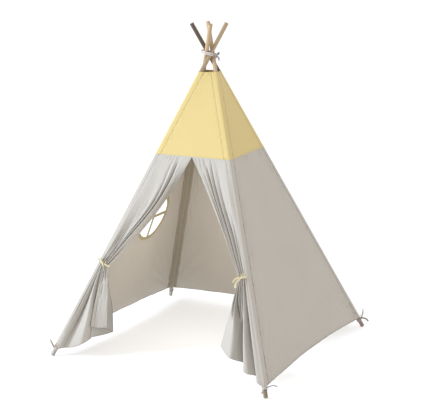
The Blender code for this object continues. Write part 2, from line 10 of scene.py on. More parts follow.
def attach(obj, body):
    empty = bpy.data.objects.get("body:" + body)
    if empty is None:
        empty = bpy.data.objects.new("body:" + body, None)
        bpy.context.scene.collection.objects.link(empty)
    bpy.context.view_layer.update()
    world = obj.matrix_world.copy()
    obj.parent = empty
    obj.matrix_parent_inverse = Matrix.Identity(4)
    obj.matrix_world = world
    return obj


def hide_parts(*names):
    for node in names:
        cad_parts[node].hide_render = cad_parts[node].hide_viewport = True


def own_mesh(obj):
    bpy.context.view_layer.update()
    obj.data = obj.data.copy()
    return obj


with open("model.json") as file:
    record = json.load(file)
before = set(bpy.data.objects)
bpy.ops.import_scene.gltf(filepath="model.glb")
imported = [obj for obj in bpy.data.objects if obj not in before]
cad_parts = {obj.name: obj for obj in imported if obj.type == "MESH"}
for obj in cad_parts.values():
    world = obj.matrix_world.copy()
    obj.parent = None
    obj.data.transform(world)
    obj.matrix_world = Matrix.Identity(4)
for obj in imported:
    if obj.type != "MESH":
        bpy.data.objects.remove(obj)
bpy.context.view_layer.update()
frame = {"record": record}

# The frame's sizes, in metres
FOOT_SPACING = np.array([1.18, 1.12])
CROSSING_HEIGHT = 1.453
POLE_LENGTH = 1.83
POLE_RADIUS = 0.010
POLE_CROSSING_GAP = 0.0015
FERRULE_LENGTH = 0.070
HEM_HEIGHT = 0.053
HEM_RISE = 0.020
SEAM_HEIGHT = 0.985
COVER_TO_POLE_GAP = 0.0008
LEFT_WALL_SPLIT = 0.70
TIE_HEIGHTS = (0.466, 0.486)
WINDOW_RADIUS = 0.125
WINDOW_HEIGHT = 0.605
WINDOW_ACROSS = 0.45

# The scene's own sizes. The photo shows the first three larger than the frame has them
RIM_HEIGHT = 1.372
RIBBON_WIDTH = 0.018
BINDING_WIDTH = 0.018
CLOTH = 0.0009
SLEEVE_CLOTH = 0.0005
LAP_THICKER = 0.8
LAP_STEP = 0.0006
HEM_FOLD = 0.014
SEAM_LAP = 0.010
FREE_HEM = 0.010
SLEEVE_STITCH = 0.019
CURTAIN_STITCH = 0.0122
STITCH_INSET = 0.003
STITCH_SPACING = 0.0044
STITCH_LENGTH = 0.0030
THREAD = 0.0005
END_ROUND = 0.0012
EDGE_ROUND = 0.0003
TUBE_WALL = 0.0010
TUBE_PLAY = 0.0003
POLE_UNEVEN = 0.018
SEED = 11

# How far the cloth stands out of flat
WALL_SLACK = 0.007
WALL_WAVES = 0.0022
WALL_PUCKERS = 0.0016
WALL_PULLS = 0.0042
WALL_GATHERS = 0.0019
HEM_WAVES = 0.0022
TOP_SLACK = 0.0018
TOP_PUCKERS = 0.0006
TOP_GATHERS = 0.0010
RIM_PUCKERS = 0.0007
CURTAIN_PUCKERS = 0.0015
SEAM_GROOVE = 0.0012
SEAM_PUCKERS = 0.0013
SLEEVE_WRINKLES = 0.0007

CORNERS = ("front_left", "front_right", "back_right", "back_left")
SIDES = ("front", "right", "back", "left")
SPLITS = (0.5, 0.5, 0.5, LEFT_WALL_SPLIT)
SIGNS = np.array([(-1, -1), (1, -1), (1, 1), (-1, 1)], float)
UPWARD = np.array([0, 0, 1.0])
HALF_DIAGONAL = float(np.hypot(*FOOT_SPACING)) / 2
TILT = math.atan2(HALF_DIAGONAL, CROSSING_HEIGHT)
WALL_TILT = math.atan(math.tan(TILT) / math.sqrt(2))
COVER_OFFSET = (POLE_RADIUS + COVER_TO_POLE_GAP) / math.cos(TILT)
OUT = np.array([(*(sign * FOOT_SPACING / 2 / HALF_DIAGONAL), 0) for sign in SIGNS])
BESIDE = np.array([(-out[1], out[0], 0) for out in OUT])
UP = np.array([UPWARD * math.cos(TILT) - out * math.sin(TILT) for out in OUT])
JOINT = UPWARD * CROSSING_HEIGHT
FOLD_LIMIT = math.radians(next(
    j["range_deg"][1] for j in frame["record"]["behaviour"]["joints"]
    if j["name"] == "front_left_fold"
))


def unit(vector):
    vector = np.asarray(vector, float)
    return vector / np.linalg.norm(vector, axis=-1, keepdims=True)


def side_by_side(*values):
    """Arrays of single values as one array of points."""
    return np.stack(np.broadcast_arrays(*values), -1)


def round_angles(count):
    return np.arange(count) / count * math.tau


def run_along(path):
    """How far along a path each of its points lies."""
    return np.concatenate([[0], np.cumsum(np.linalg.norm(np.diff(path, axis=0), axis=1))])


def relax(path, times):
    """Evens out the corners of a path, whose ends stay."""
    for _ in range(times):
        path[1:-1] = (path[:-2] + 2 * path[1:-1] + path[2:]) / 4


def ease(low, high, value):
    """0 below low, 1 above high, and smooth between."""
    t = np.clip((value - low) / (high - low), 0, 1)
    return t * t * (3 - 2 * t)


def bell(value, middle, width):
    """1 at the middle, and next to nothing two widths away."""
    return np.exp(-((value - middle) / width) ** 2)


def softened(wave, power):
    """A wave raised to a power with its sign kept, which rounds a section's corners."""
    return np.sign(wave) * np.abs(wave) ** power


def smooth(knots, shares):
    """A smooth curve through knots at even shares, along the first axis."""
    knots = np.asarray(knots, float)
    spans = len(knots) - 1
    place = np.clip(shares, 0, 1) * spans
    first = np.minimum(place.astype(int), spans - 1)
    t = (place - first).reshape(-1, *[1] * (knots.ndim - 1))
    ends = np.concatenate([2 * knots[:1] - knots[1:2], knots, 2 * knots[-1:] - knots[-2:-1]])
    p0, p1, p2, p3 = (ends[first + step] for step in range(4))
    bend = (2 * p0 - 5 * p1 + 4 * p2 - p3) * t**2 + (3 * p1 - p0 - 3 * p2 + p3) * t**3
    return (2 * p1 + (p2 - p0) * t + bend) / 2


def ripples(a, b, wave_a, wave_b, seed, octaves=5):
    """Uneven waves over a and b, about -1 to 1, near the two wavelengths."""
    pick = np.random.default_rng(SEED + seed)
    total = np.zeros(np.broadcast(a, b).shape)
    for _ in range(octaves):
        turn_a, turn_b = pick.uniform(0.65, 1.5, 2) * math.tau
        lean = pick.uniform(-0.5, 0.5)
        start_a, start_b = pick.uniform(0, math.tau, 2)
        across = np.sin(turn_a * a / wave_a + lean * b / wave_b * 3 + start_a)
        total = total + across * np.cos(turn_b * b / wave_b + start_b)
    return total / math.sqrt(octaves) / 1.2


def swirl_offset():
    """How far each pole passes beside the middle of the crossing."""
    reach = []
    for corner in range(4):
        after = (corner + 1) % 4
        across = unit(np.cross(UP[corner], UP[after]))
        reach.append(abs((BESIDE[corner] - BESIDE[after]) @ across))
    return (2 * POLE_RADIUS + POLE_CROSSING_GAP) / min(reach)


SWIRL = swirl_offset()


def pole_point(corner, height):
    """The middle of a pole at heights above the floor."""
    height = np.asarray(height, float)[..., None]
    run = (CROSSING_HEIGHT - height) * math.tan(TILT)
    return OUT[corner % 4] * run + BESIDE[corner % 4] * SWIRL + UPWARD * height


def wall_frame(side, height):
    """Where the cloth of a side leaves its first pole, its directions along and out, its width."""
    first, second = pole_point(side, height), pole_point(side + 1, height)
    width = np.linalg.norm(second - first, axis=-1, keepdims=True)
    along = (second - first) / width
    face = np.stack([along[..., 1], -along[..., 0], 0 * along[..., 0]], -1)
    return first + face * COVER_OFFSET, along, face, width[..., 0]


def cloth_start(side, corner, height):
    """Where a side's cloth leaves the pole of one of its two corners."""
    start, along, _, width = wall_frame(side, height)
    return start if corner % 4 == side else start + along * np.asarray(width)[..., None]


# Meshes

def add_object(name, data):
    thing = bpy.data.objects.new(name, data)
    bpy.context.scene.collection.objects.link(thing)
    return thing


def make_mesh(name, vertices, faces, uv, material, sharp=50):
    """An object at the origin from vertices, faces and a UV place for each vertex."""
    mesh = bpy.data.meshes.new(name)
    mesh.from_pydata([tuple(v) for v in np.asarray(vertices, float)], [], faces)
    layer = mesh.uv_layers.new(name="UVMap")
    corners = np.empty(len(mesh.loops), int)
    mesh.loops.foreach_get("vertex_index", corners)
    layer.data.foreach_set("uv", np.asarray(uv, np.float32)[corners].ravel())
    mesh.polygons.foreach_set("use_smooth", [True] * len(mesh.polygons))
    mesh.set_sharp_from_angle(angle=math.radians(sharp))
    mesh.materials.append(material)
    mesh.validate()
    return add_object(name, mesh)


def surface_normals(grid):
    """Outward normals of a grid of points whose rows run along and whose columns run up."""
    return unit(np.cross(np.gradient(grid, axis=1), np.gradient(grid, axis=0)))


def fold_shade(grid, share, pinched=0.0):
    """Painted shade in folds: darker the more sharply each point of a sheet bends into a fold, up
    to share, and more where it is pinched.
    """
    step = np.diff(grid, axis=1)
    length = np.linalg.norm(step, axis=-1, keepdims=True) + 1e-9
    turn = np.diff(step / length, axis=1) / (length[:, 1:] + length[:, :-1]) * 2
    bend = np.pad((turn * surface_normals(grid)[:, 1:-1]).sum(-1), ((0, 0), (1, 1)))
    relax(bend.T, 2)
    return share * np.clip((bend - 24 * (1 - pinched)) / (110 - 70 * pinched), 0, 1)


def doubled(edges):
    """1 where cloth lies double, for how far each point is from an edge and that edge's lap."""
    return np.max([1 - ease(lap - LAP_STEP, lap + LAP_STEP, away) for away, lap in edges], axis=0)


def cloth_sheet(name, grid, uv, material, thickness=CLOTH, keep=None, painted_shade=0.0):
    """A closed sheet of cloth on a grid of inner points. keep drops cells that are cut away,
    and the last argument is the painted shade that darkens each point."""
    rows, columns = grid.shape[0] - 1, grid.shape[1] - 1
    wide = columns + 1
    count = (rows + 1) * wide
    thick = np.broadcast_to(thickness, grid.shape[:2])[..., None]
    outer = grid + surface_normals(grid) * thick
    vertices = np.concatenate([grid.reshape(-1, 3), outer.reshape(-1, 3)])
    places = np.concatenate([uv.reshape(-1, 2)] * 2)
    # Painted shade at each point, the same on both faces
    shaded = np.concatenate([np.broadcast_to(painted_shade, grid.shape[:2]).ravel()] * 2)
    keep = np.ones((rows, columns), bool) if keep is None else keep
    shown = np.pad(keep, 1)
    faces = []
    for r, c in np.argwhere(keep).tolist():
        a, b = r * wide + c, (r + 1) * wide + c
        faces.append((count + a, count + a + 1, count + b + 1, count + b))
        faces.append((a, b, b + 1, a + 1))
        if not shown[r, c + 1]:
            faces.append((a, a + 1, count + a + 1, count + a))
        if not shown[r + 2, c + 1]:
            faces.append((count + b, count + b + 1, b + 1, b))
        if not shown[r + 1, c]:
            faces.append((a, count + a, count + b, b))
        if not shown[r + 1, c + 2]:
            faces.append((count + a + 1, a + 1, b + 1, count + b + 1))
    faces = np.array(faces)
    used = np.unique(faces)
    number = np.zeros(2 * count, int)
    number[used] = np.arange(len(used))
    thing = make_mesh(name, vertices[used], number[faces].tolist(), places[used], material)
    layer = thing.data.attributes.new("painted_shade", "FLOAT", "POINT")
    layer.data.foreach_set("value", shaded[used].astype(np.float32))
    return thing


def tube_mesh(name, rings, uv, material, sharp=40, closed=False):
    """A solid skinned over rings of points, capped at both ends or closed on itself."""
    count, around = rings.shape[:2]
    faces = []
    for r in range(count if closed else count - 1):
        for c in range(around):
            a, b = r * around, (r + 1) % count * around
            d = (c + 1) % around
            faces.append((a + c, a + d, b + d, b + c))
    if not closed:
        faces.append(tuple(reversed(range(around))))
        faces.append(tuple(range((count - 1) * around, count * around)))
    return make_mesh(name, rings.reshape(-1, 3), faces, uv.reshape(-1, 2), material, sharp)


def sweep(path, wide, width, thickness, round_share=0.5, around=10, cup=0.0):
    """Rings of a flat ribbon's rounded section along a path. wide is its width direction."""
    tangent = unit(np.gradient(path, axis=0))
    wide = np.broadcast_to(np.asarray(wide, float), path.shape)
    flat = unit(np.cross(tangent, unit(wide - tangent * (wide * tangent).sum(-1, keepdims=True))))
    wide = unit(np.cross(flat, tangent))
    turn = round_angles(around)[:, None]
    x, y = softened(np.cos(turn), round_share), softened(np.sin(turn), round_share)
    lift = y * thickness / 2 + (x**2 - 0.4) * cup * width
    return path[:, None] + wide[:, None] * x * width / 2 + flat[:, None] * lift


def ribbon_uv(path, width, around=10):
    across = np.cos(round_angles(around)) * width / 2
    return side_by_side(across[None, :], run_along(path)[:, None])


def ribbon(name, path, wide, width, thickness, material, cup=0.0):
    """A woven tape with soft edges along a path."""
    rings = sweep(path, wide, width, thickness, cup=cup)
    return tube_mesh(name, rings, ribbon_uv(path, width), material)


def merged(name, things):
    """One object from several."""
    with bpy.context.temp_override(
        active_object=things[0], object=things[0], selected_objects=things,
        selected_editable_objects=things,
    ):
        bpy.ops.object.join()
    things[0].name = things[0].data.name = name
    return things[0]


# Shader nodes

def feed(tree, sockets, **values):
    """Sets or links sockets, named with _ for a space, or in_ and a number."""
    for label, value in values.items():
        number = label.removeprefix("in_")
        socket = sockets[int(number) if number.isdigit() else label.replace("_", " ")]
        if isinstance(value, bpy.types.NodeSocket):
            tree.links.new(value, socket)
        else:
            socket.default_value = value


def add_node(tree, kind, settings=(), **values):
    """The outputs of a new node with its settings and with what its inputs take."""
    node = tree.nodes.new("ShaderNode" + kind)
    for key, value in dict(settings).items():
        setattr(node, key, value)
    feed(tree, node.inputs, **values)
    return node.outputs


def arithmetic(tree):
    """Functions that add, multiply and work out any other sum in a tree."""

    def do(operation, a, b=0.0, c=0.5, clamp=False):
        settings = {"operation": operation, "use_clamp": clamp}
        return add_node(tree, "Math", settings, in_0=a, in_1=b, in_2=c)[0]

    def add(a, b, clamp=False):
        return do("ADD", a, b, clamp=clamp)

    def times(a, b):
        return do("MULTIPLY", a, b)

    return add, times, do


def blend_colours(tree, factor, first, second):
    return add_node(tree, "Mix", {"data_type": "RGBA"}, in_0=factor, in_6=first, in_7=second)[2]


def noise(tree, place, scale, detail):
    return add_node(tree, "TexNoise", in_0=place, in_2=scale, in_3=detail)[0]


def stretched(tree, place, scale):
    return add_node(tree, "Mapping", in_0=place, in_3=scale)[0]


def new_group(name, *inputs):
    """A group that makes a colour, a height and a roughness: its tree, inputs and outputs."""
    tree = bpy.data.node_groups.new(name, "ShaderNodeTree")
    for label, kind, value in inputs:
        socket = tree.interface.new_socket(label, in_out="INPUT", socket_type="NodeSocket" + kind)
        socket.default_value = value
    for label, kind in (("Colour", "Color"), ("Height", "Float"), ("Roughness", "Float")):
        tree.interface.new_socket(label, in_out="OUTPUT", socket_type="NodeSocket" + kind)
    given, made = tree.nodes.new("NodeGroupInput"), tree.nodes.new("NodeGroupOutput")
    return tree, given.outputs, made.inputs


def weave_group():
    """Plain weave: crossing threads, slubs, a little unevenness in the dye, and painted shade,
    darker toward near black as its last input grows.
    """
    tree, given, made = new_group(
        "plain_weave",
        ("UV", "Vector", (0, 0, 0)), ("Place", "Vector", (0, 0, 0)),
        ("Colour", "Color", (0.5, 0.5, 0.5, 1)), ("Deep colour", "Color", (0.4, 0.4, 0.4, 1)),
        ("Threads per metre", "Float", 1000.0), ("Slub", "Float", 0.35), ("Mottle", "Float", 0.3),
        ("Crease", "Float", 0.0))
    add, times, do = arithmetic(tree)
    parts = add_node(tree, "SeparateXYZ", in_0=given["UV"])
    u, v = (times(times(parts[axis], given["Threads per metre"]), math.pi) for axis in (0, 1))
    warp, weft = (do("ABSOLUTE", do("SINE", wave)) for wave in (u, v))
    over = do("MULTIPLY_ADD", times(do("COSINE", u), do("COSINE", v)), 0.5, 0.5)
    height = add(times(warp, over), times(weft, do("SUBTRACT", 1.0, over)))
    lengthwise = noise(tree, stretched(tree, given["UV"], (1500, 30, 1)), 1.0, 3.0)
    crosswise = noise(tree, stretched(tree, given["UV"], (30, 1500, 1)), 1.0, 4.0)
    slub = times(do("SUBTRACT", add(lengthwise, crosswise), 1.0), given["Slub"])
    mottle = times(do("SUBTRACT", noise(tree, given["Place"], 5.0, 4.0), 0.5), given["Mottle"])
    shade = add(times(do("SUBTRACT", 1.0, height), 0.35), 0.1)
    shade = add(add(shade, slub), mottle, clamp=True)
    colour = blend_colours(tree, shade, given["Colour"], given["Deep colour"])
    # Painted shade: the near-black colour that the cloth darkens toward
    shadow_colour = blend_colours(tree, 0.6, given["Deep colour"], (0.02, 0.015, 0.01, 1))
    feed(tree, made, Colour=blend_colours(tree, given["Crease"], colour, shadow_colour),
         Height=add(height, slub), Roughness=do("MULTIPLY_ADD", shade, 0.12, 0.82))
    return tree


def grain_group():
    """Straight-grained pine: growth lines and fine pores that run along the pole."""
    tree, given, made = new_group(
        "pine_grain",
        ("UV", "Vector", (0, 0, 0)), ("Light wood", "Color", (0.6, 0.4, 0.2, 1)),
        ("Dark wood", "Color", (0.4, 0.25, 0.1, 1)), ("Line scale", "Float", 120.0))
    add, times, do = arithmetic(tree)
    long = stretched(tree, given["UV"], (1.0, 0.035, 1.0))
    line = times(add_node(tree, "SeparateXYZ", in_0=long)[0], given["Line scale"])
    line = add(times(line, math.tau), times(noise(tree, long, 60.0, 2.0), 9.0))
    growth = do("POWER", do("ABSOLUTE", do("SINE", line)), 0.6)
    pores = noise(tree, long, 900.0, 3.0)
    patch = times(do("SUBTRACT", noise(tree, long, 25.0, 2.0), 0.5), 2.4)
    mixed = add(add(times(growth, 0.45), times(pores, 0.5)), patch, clamp=True)
    feed(tree, made, Colour=blend_colours(tree, mixed, given["Dark wood"], given["Light wood"]),
         Height=mixed, Roughness=do("MULTIPLY_ADD", pores, 0.2, 0.42))
    return tree


WEAVE, GRAIN = weave_group(), grain_group()


def start_material(name):
    """A material, its tree, its shader's inputs and its texture coordinates."""
    material = bpy.data.materials.new(name)
    material.use_nodes = True
    tree = material.node_tree
    return material, tree, tree.nodes["Principled BSDF"].inputs, add_node(tree, "TexCoord")


def dress(tree, shader, colour, rough, height, depth, strength):
    """Gives the shader a colour, a roughness and a relief."""
    bump = add_node(tree, "Bump", Distance=depth, Strength=strength, Height=height)
    feed(tree, shader, Base_Color=colour, Roughness=rough, Normal=bump[0])


def cloth_material(name, colour, deep, threads=1000.0, slub=0.3, mottle=0.25, depth=0.0004,
                   crumple=0.0, sheen=0.15):
    """Woven cloth, darkened by painted shade where an attribute of the mesh says: in folds, along
    seams, under hems.
    """
    material, tree, shader, where = start_material(name)
    add, times, _ = arithmetic(tree)
    weave = add_node(
        tree, "Group", {"node_tree": WEAVE}, UV=where["UV"], Place=where["Object"],
        Colour=(*colour, 1), Deep_colour=(*deep, 1), Threads_per_metre=threads, Slub=slub,
        Mottle=mottle, Crease=add_node(tree, "Attribute", {"attribute_name": "painted_shade"})["Fac"])
    height = weave["Height"]
    if crumple:
        height = add(height, times(noise(tree, where["Object"], 38.0, 5.0), crumple))
    dress(tree, shader, weave["Colour"], weave["Roughness"], height, depth, 0.6)
    feed(tree, shader, Sheen_Weight=sheen, Specular_IOR_Level=0.25)
    return material


def wood_material(name, light, dark, lines):
    material, tree, shader, where = start_material(name)
    grain = add_node(tree, "Group", {"node_tree": GRAIN}, UV=where["UV"], Light_wood=(*light, 1),
                     Dark_wood=(*dark, 1), Line_scale=lines)
    dress(tree, shader, grain["Colour"], grain["Roughness"], grain["Height"], 0.0003, 0.35)
    return material


def end_grain_material():
    material, tree, shader, where = start_material("pine_end_grain")
    add, times, do = arithmetic(tree)
    away = add_node(tree, "VectorMath", {"operation": "LENGTH"}, in_0=where["UV"])[1]
    rings = add(times(away, 5200.0), times(noise(tree, where["UV"], 300.0, 3.0), 3.0))
    share = do("MULTIPLY_ADD", do("SINE", rings), 0.3, 0.5)
    colour = blend_colours(tree, share, (0.28, 0.18, 0.10, 1), (0.44, 0.31, 0.19, 1))
    dress(tree, shader, colour, add(times(share, 0.1), 0.65), share, 0.0002, 0.4)
    return material


def tube_material():
    material, tree, shader, where = start_material("brushed_aluminium")
    add, times, _ = arithmetic(tree)
    brushed = noise(tree, stretched(tree, where["UV"], (40, 2600, 1)), 1.0, 4.0)
    colour = blend_colours(tree, brushed, (0.6, 0.6, 0.62, 1), (0.8, 0.8, 0.82, 1))
    dress(tree, shader, colour, add(times(brushed, 0.2), 0.25), brushed, 0.0001, 0.3)
    feed(tree, shader, Metallic=1)
    return material


COTTON = {"slub": 0.42, "mottle": 0.34, "crumple": 1.2}
GREY_COTTON = cloth_material(
    "grey_cotton", (0.490, 0.450, 0.395), (0.370, 0.330, 0.280), **COTTON)
# The walls' cotton painted a little lighter and cooler for the curtains: painted light, for the
# light on the front and through the thin cloth
LIT_CURTAIN_COTTON = cloth_material(
    "lit_curtain_cotton", (0.495, 0.462, 0.412), (0.375, 0.341, 0.296), **COTTON)
YELLOW_COTTON = cloth_material(
    "yellow_cotton", (0.640, 0.505, 0.220), (0.520, 0.400, 0.155), crumple=0.9)
SLEEVE_COTTON = cloth_material(
    "sleeve_cotton", (0.30, 0.255, 0.195), (0.21, 0.175, 0.13), crumple=1.2)
OLIVE_TAPE = cloth_material(
    "olive_tape", (0.37, 0.315, 0.165), (0.25, 0.21, 0.10), 1400.0, depth=0.0005)
CREAM_RIBBON = cloth_material(
    "cream_ribbon", (0.77, 0.69, 0.45), (0.57, 0.49, 0.28), 1800.0, sheen=0.35)
WHITE_TAPE = cloth_material(
    "white_tape", (0.56, 0.495, 0.45), (0.38, 0.325, 0.285), 1300.0, depth=0.0006)
# A darker copy of the white tape: painted shade on the lashing's tails and loops, and on three feet
# partly painted shade of the knots and partly a darker tape
GREY_AND_SHADED_TAPE = cloth_material(
    "grey_and_shaded_tape", (0.32, 0.29, 0.265), (0.20, 0.18, 0.16), 1300.0, depth=0.0006)
GREY_THREAD = cloth_material("grey_thread", (0.44, 0.40, 0.35), (0.32, 0.285, 0.24), 4000.0)
YELLOW_THREAD = cloth_material("yellow_thread", (0.56, 0.43, 0.18), (0.42, 0.31, 0.11), 4000.0)
LIGHT_PINE = wood_material("light_pine", (0.56, 0.41, 0.235), (0.33, 0.22, 0.115), 130.0)
GREY_PINE = wood_material("grey_pine", (0.46, 0.33, 0.19), (0.195, 0.132, 0.07), 140.0)
BROWN_PINE = wood_material("brown_pine", (0.145, 0.104, 0.068), (0.062, 0.042, 0.027), 150.0)
REDDISH_PINE = wood_material("reddish_pine", (0.36, 0.235, 0.18), (0.18, 0.115, 0.085), 145.0)
PALE_PINE = wood_material("pale_pine", (0.40, 0.365, 0.325), (0.235, 0.21, 0.18), 135.0)
DULL_PINE = wood_material("dull_pine", (0.34, 0.265, 0.17), (0.16, 0.12, 0.075), 140.0)
UPPER_WOODS = (GREY_PINE, GREY_PINE, BROWN_PINE, LIGHT_PINE)
LOWER_WOODS = (PALE_PINE, DULL_PINE, REDDISH_PINE, PALE_PINE)
END_GRAIN = end_grain_material()
ALUMINIUM = tube_material()


# How pieces ride, and how the cloth folds up beside its pole

def ride_leg(thing, corner, replaces=(), flat=None):
    """Hangs a piece on a leg and hides the parts that it replaces. flat is the squash worked out
    for when the leg folds in; with it, the piece only gets a mesh of its own.
    """
    own = CORNERS[corner % 4]
    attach(thing, own + "_leg")
    if replaces:
        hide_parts(*replaces)
    if flat:
        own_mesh(thing)


def turned_in(corner, points, angle):
    """Where a leg's points go when it folds inward by angle."""
    axis = BESIDE[corner % 4]
    arm = points - JOINT
    return JOINT + (
        arm * math.cos(angle) + np.cross(axis, arm) * math.sin(angle)
        + axis * (arm @ axis)[..., None] * (1 - math.cos(angle))
    )


def fold_flat(side, corner, low, high, share=0.5):
    """The squash that brings a half panel to its neighbour when both poles are folded in."""
    other = (side + 1) % 4 if corner % 4 == side else side
    here, there = (cloth_start(side, place, (low + high) / 2) for place in (corner, other))
    rest = here + (there - here) * share
    far = turned_in(corner, here, FOLD_LIMIT)
    near = turned_in(other, there, FOLD_LIMIT)
    target = turned_in(corner, far + (near - far) * share, -FOLD_LIMIT)
    pole = UP[corner % 4]
    shift = rest - target
    axis = unit(shift - pole * (shift @ pole))
    keep = 1 - (shift @ axis) / ((rest - here) @ axis)
    return {"axis": tuple(axis), "anchor": tuple(here), "keep": float(np.clip(keep, 0.12, 1))}


# Stitches

STITCH_RUNS = {}


def stitch_tree():
    """Geometry nodes that lay one stitch after another along every line of a mesh."""
    tree = bpy.data.node_groups.new("stitch_run", "GeometryNodeTree")
    for label, kind, way, value in (
        ("Lines", "Geometry", "INPUT", None), ("Spacing", "Float", "INPUT", STITCH_SPACING),
        ("Length", "Float", "INPUT", STITCH_LENGTH), ("Thread", "Float", "INPUT", THREAD),
        ("Material", "Material", "INPUT", None), ("Stitches", "Geometry", "OUTPUT", None),
    ):
        socket = tree.interface.new_socket(label, in_out=way, socket_type="NodeSocket" + kind)
        if value:
            socket.default_value = value
    given, made, curve, even, tangent, point, bead, size, place, real, finish = (
        tree.nodes.new(kind) for kind in (
            "NodeGroupInput", "NodeGroupOutput", "GeometryNodeMeshToCurve",
            "GeometryNodeResampleCurve", "GeometryNodeInputTangent",
            "FunctionNodeAlignEulerToVector", "GeometryNodeMeshUVSphere", "ShaderNodeCombineXYZ",
            "GeometryNodeInstanceOnPoints", "GeometryNodeRealizeInstances",
            "GeometryNodeSetMaterial"))
    even.mode, point.axis = "LENGTH", "Z"
    feed(tree, bead.inputs, Segments=6, Rings=4, Radius=0.5)
    for source, output, target, label in (
        (given, "Lines", curve, "Mesh"), (curve, 0, even, "Curve"),
        (given, "Spacing", even, "Length"), (tangent, 0, point, "Vector"),
        (given, "Thread", size, 0), (given, "Thread", size, 1), (given, "Length", size, 2),
        (even, 0, place, "Points"), (bead, "Mesh", place, "Instance"),
        (point, 0, place, "Rotation"), (size, 0, place, "Scale"), (place, 0, real, 0),
        (real, 0, finish, "Geometry"), (given, "Material", finish, "Material"),
        (finish, 0, made, "Stitches"),
    ):
        tree.links.new(source.outputs[output], target.inputs[label])
    return tree


STITCH_TREE = stitch_tree()


def stitches(name, lines, material):
    """A plain mesh of stitches along lines of points."""
    vertices, edges = [], []
    for line in lines:
        first = len(vertices)
        vertices += [tuple(p) for p in line]
        edges += [(first + i, first + i + 1) for i in range(len(line) - 1)]
    mesh = bpy.data.meshes.new(name + "_lines")
    mesh.from_pydata(vertices, edges, [])
    guide = add_object(name + "_lines", mesh)
    run = guide.modifiers.new("stitches", "NODES")
    run.node_group = STITCH_TREE
    settings = {"Material": material, "Spacing": STITCH_SPACING}
    for item in STITCH_TREE.interface.items_tree:
        if item.in_out == "INPUT" and item.name in settings:
            run[item.identifier] = settings[item.name]
    bpy.context.view_layer.update()
    ready = guide.evaluated_get(bpy.context.evaluated_depsgraph_get())
    made = bpy.data.meshes.new_from_object(ready)
    made.polygons.foreach_set("use_smooth", [True] * len(made.polygons))
    if not made.uv_layers:
        made.uv_layers.new(name="UVMap")
    bpy.data.objects.remove(guide, do_unlink=True)
    return add_object(name, made)


def make_stitches():
    for (corner, side, top, kind), (thread, lines, flat) in STITCH_RUNS.items():
        part, slot = ("top", "yellow_cotton") if top else ("wall", "grey_cotton")
        name = f"{CORNERS[corner]}_{SIDES[side]}_{part}_{kind}_stitches"
        ride_leg(stitches(name, lines, thread), corner, flat=flat)


def line_at(distance, runs, lines):
    """The point at a distance along each of several lines, from how far along each point is."""
    points = []
    for run, line in zip(runs, lines):
        order = np.argsort(run, kind="stable")
        points.append([np.interp(distance, run[order], line[order, k]) for k in range(3)])
    return np.array(points)


def under_stitches(grid, thickness):
    """Where thread lies on a sheet's outside."""
    return grid + surface_normals(grid) * (thickness[..., None] + THREAD * 0.2)


# The poles and their joining tubes

FOOT_BELOW = (CROSSING_HEIGHT - (POLE_RADIUS - END_ROUND) * math.sin(TILT)) / math.cos(TILT)


def pole_axes(corner):
    """The directions beside a pole and out from it, square to it."""
    return BESIDE[corner], unit(np.cross(BESIDE[corner], UP[corner]))


def pole_rings(corner, along, radius, around=40):
    """Rings of a hand-sanded pole, a little uneven, at distances above its foot."""
    side, out = pole_axes(corner)
    turn = round_angles(around)
    waves = ripples(along[:, None], turn[None, :] / math.tau, 0.23, 1.0, 40 + corner, 4)
    reach = radius[:, None] * np.minimum(1 + POLE_UNEVEN * waves, 1.0)
    middle = JOINT + side * SWIRL + UP[corner] * (along[:, None] - FOOT_BELOW)
    x, y = (reach * np.cos(turn))[..., None], (reach * np.sin(turn))[..., None]
    uv = side_by_side(turn[None, :] * POLE_RADIUS + corner * 0.37, along[:, None])
    return middle[:, None] + side * x - out * y, uv


def make_pole_half(corner, upper):
    """Half of a pole: thinner inside the joining tube, with its free end's edge rounded."""
    name = CORNERS[corner] + ("_pole_upper" if upper else "_pole_lower")
    middle, bare, full = POLE_LENGTH / 2, (POLE_LENGTH - FERRULE_LENGTH) / 2, POLE_RADIUS
    small = full - TUBE_WALL - TUBE_PLAY
    steps = np.linspace(END_ROUND, bare - 0.0003, 60)
    along = np.array([0, 0.0004, *steps, bare - 0.0002, middle - 0.0002])
    radius = np.array([full - END_ROUND, full - EDGE_ROUND, *[full] * 60, small, small])
    if upper:
        along, radius = POLE_LENGTH - along[::-1], radius[::-1]
    ring, uv = pole_rings(corner, along, radius)
    wood = (UPPER_WOODS if upper else LOWER_WOODS)[corner]
    thing = tube_mesh(name + "_wood", ring, uv, wood, 35)
    mesh = thing.data
    mesh.materials.append(END_GRAIN)
    layer = mesh.uv_layers["UVMap"].data
    side, out = pole_axes(corner)
    for cap in mesh.polygons[len(mesh.polygons) - 2:]:
        cap.material_index = 1
        for loop in cap.loop_indices:
            place = np.array(mesh.vertices[mesh.loops[loop].vertex_index].co)
            arm = place - JOINT - side * SWIRL
            layer[loop].uv = (arm @ side + 0.002, arm @ out + 0.001)
    ride_leg(thing, corner, [name])


def make_ferrule(corner):
    middle, half, full = POLE_LENGTH / 2, FERRULE_LENGTH / 2, POLE_RADIUS
    bore, edge = full - TUBE_WALL, full - EDGE_ROUND
    along = np.array([half, half - 0.0004, -half + 0.0004, -half, -half, half]) + middle
    ring, uv = pole_rings(corner, along, np.array([edge, full, full, edge, bore, bore]))
    name = CORNERS[corner] + "_joining_tube"
    thing = tube_mesh(name, ring[::-1], uv[::-1], ALUMINIUM, 35, closed=True)
    ride_leg(thing, corner, [CORNERS[corner] + "_ferrule"])


# The cover

def hem_height(share):
    return HEM_HEIGHT + HEM_RISE * 4 * share * (1 - share)


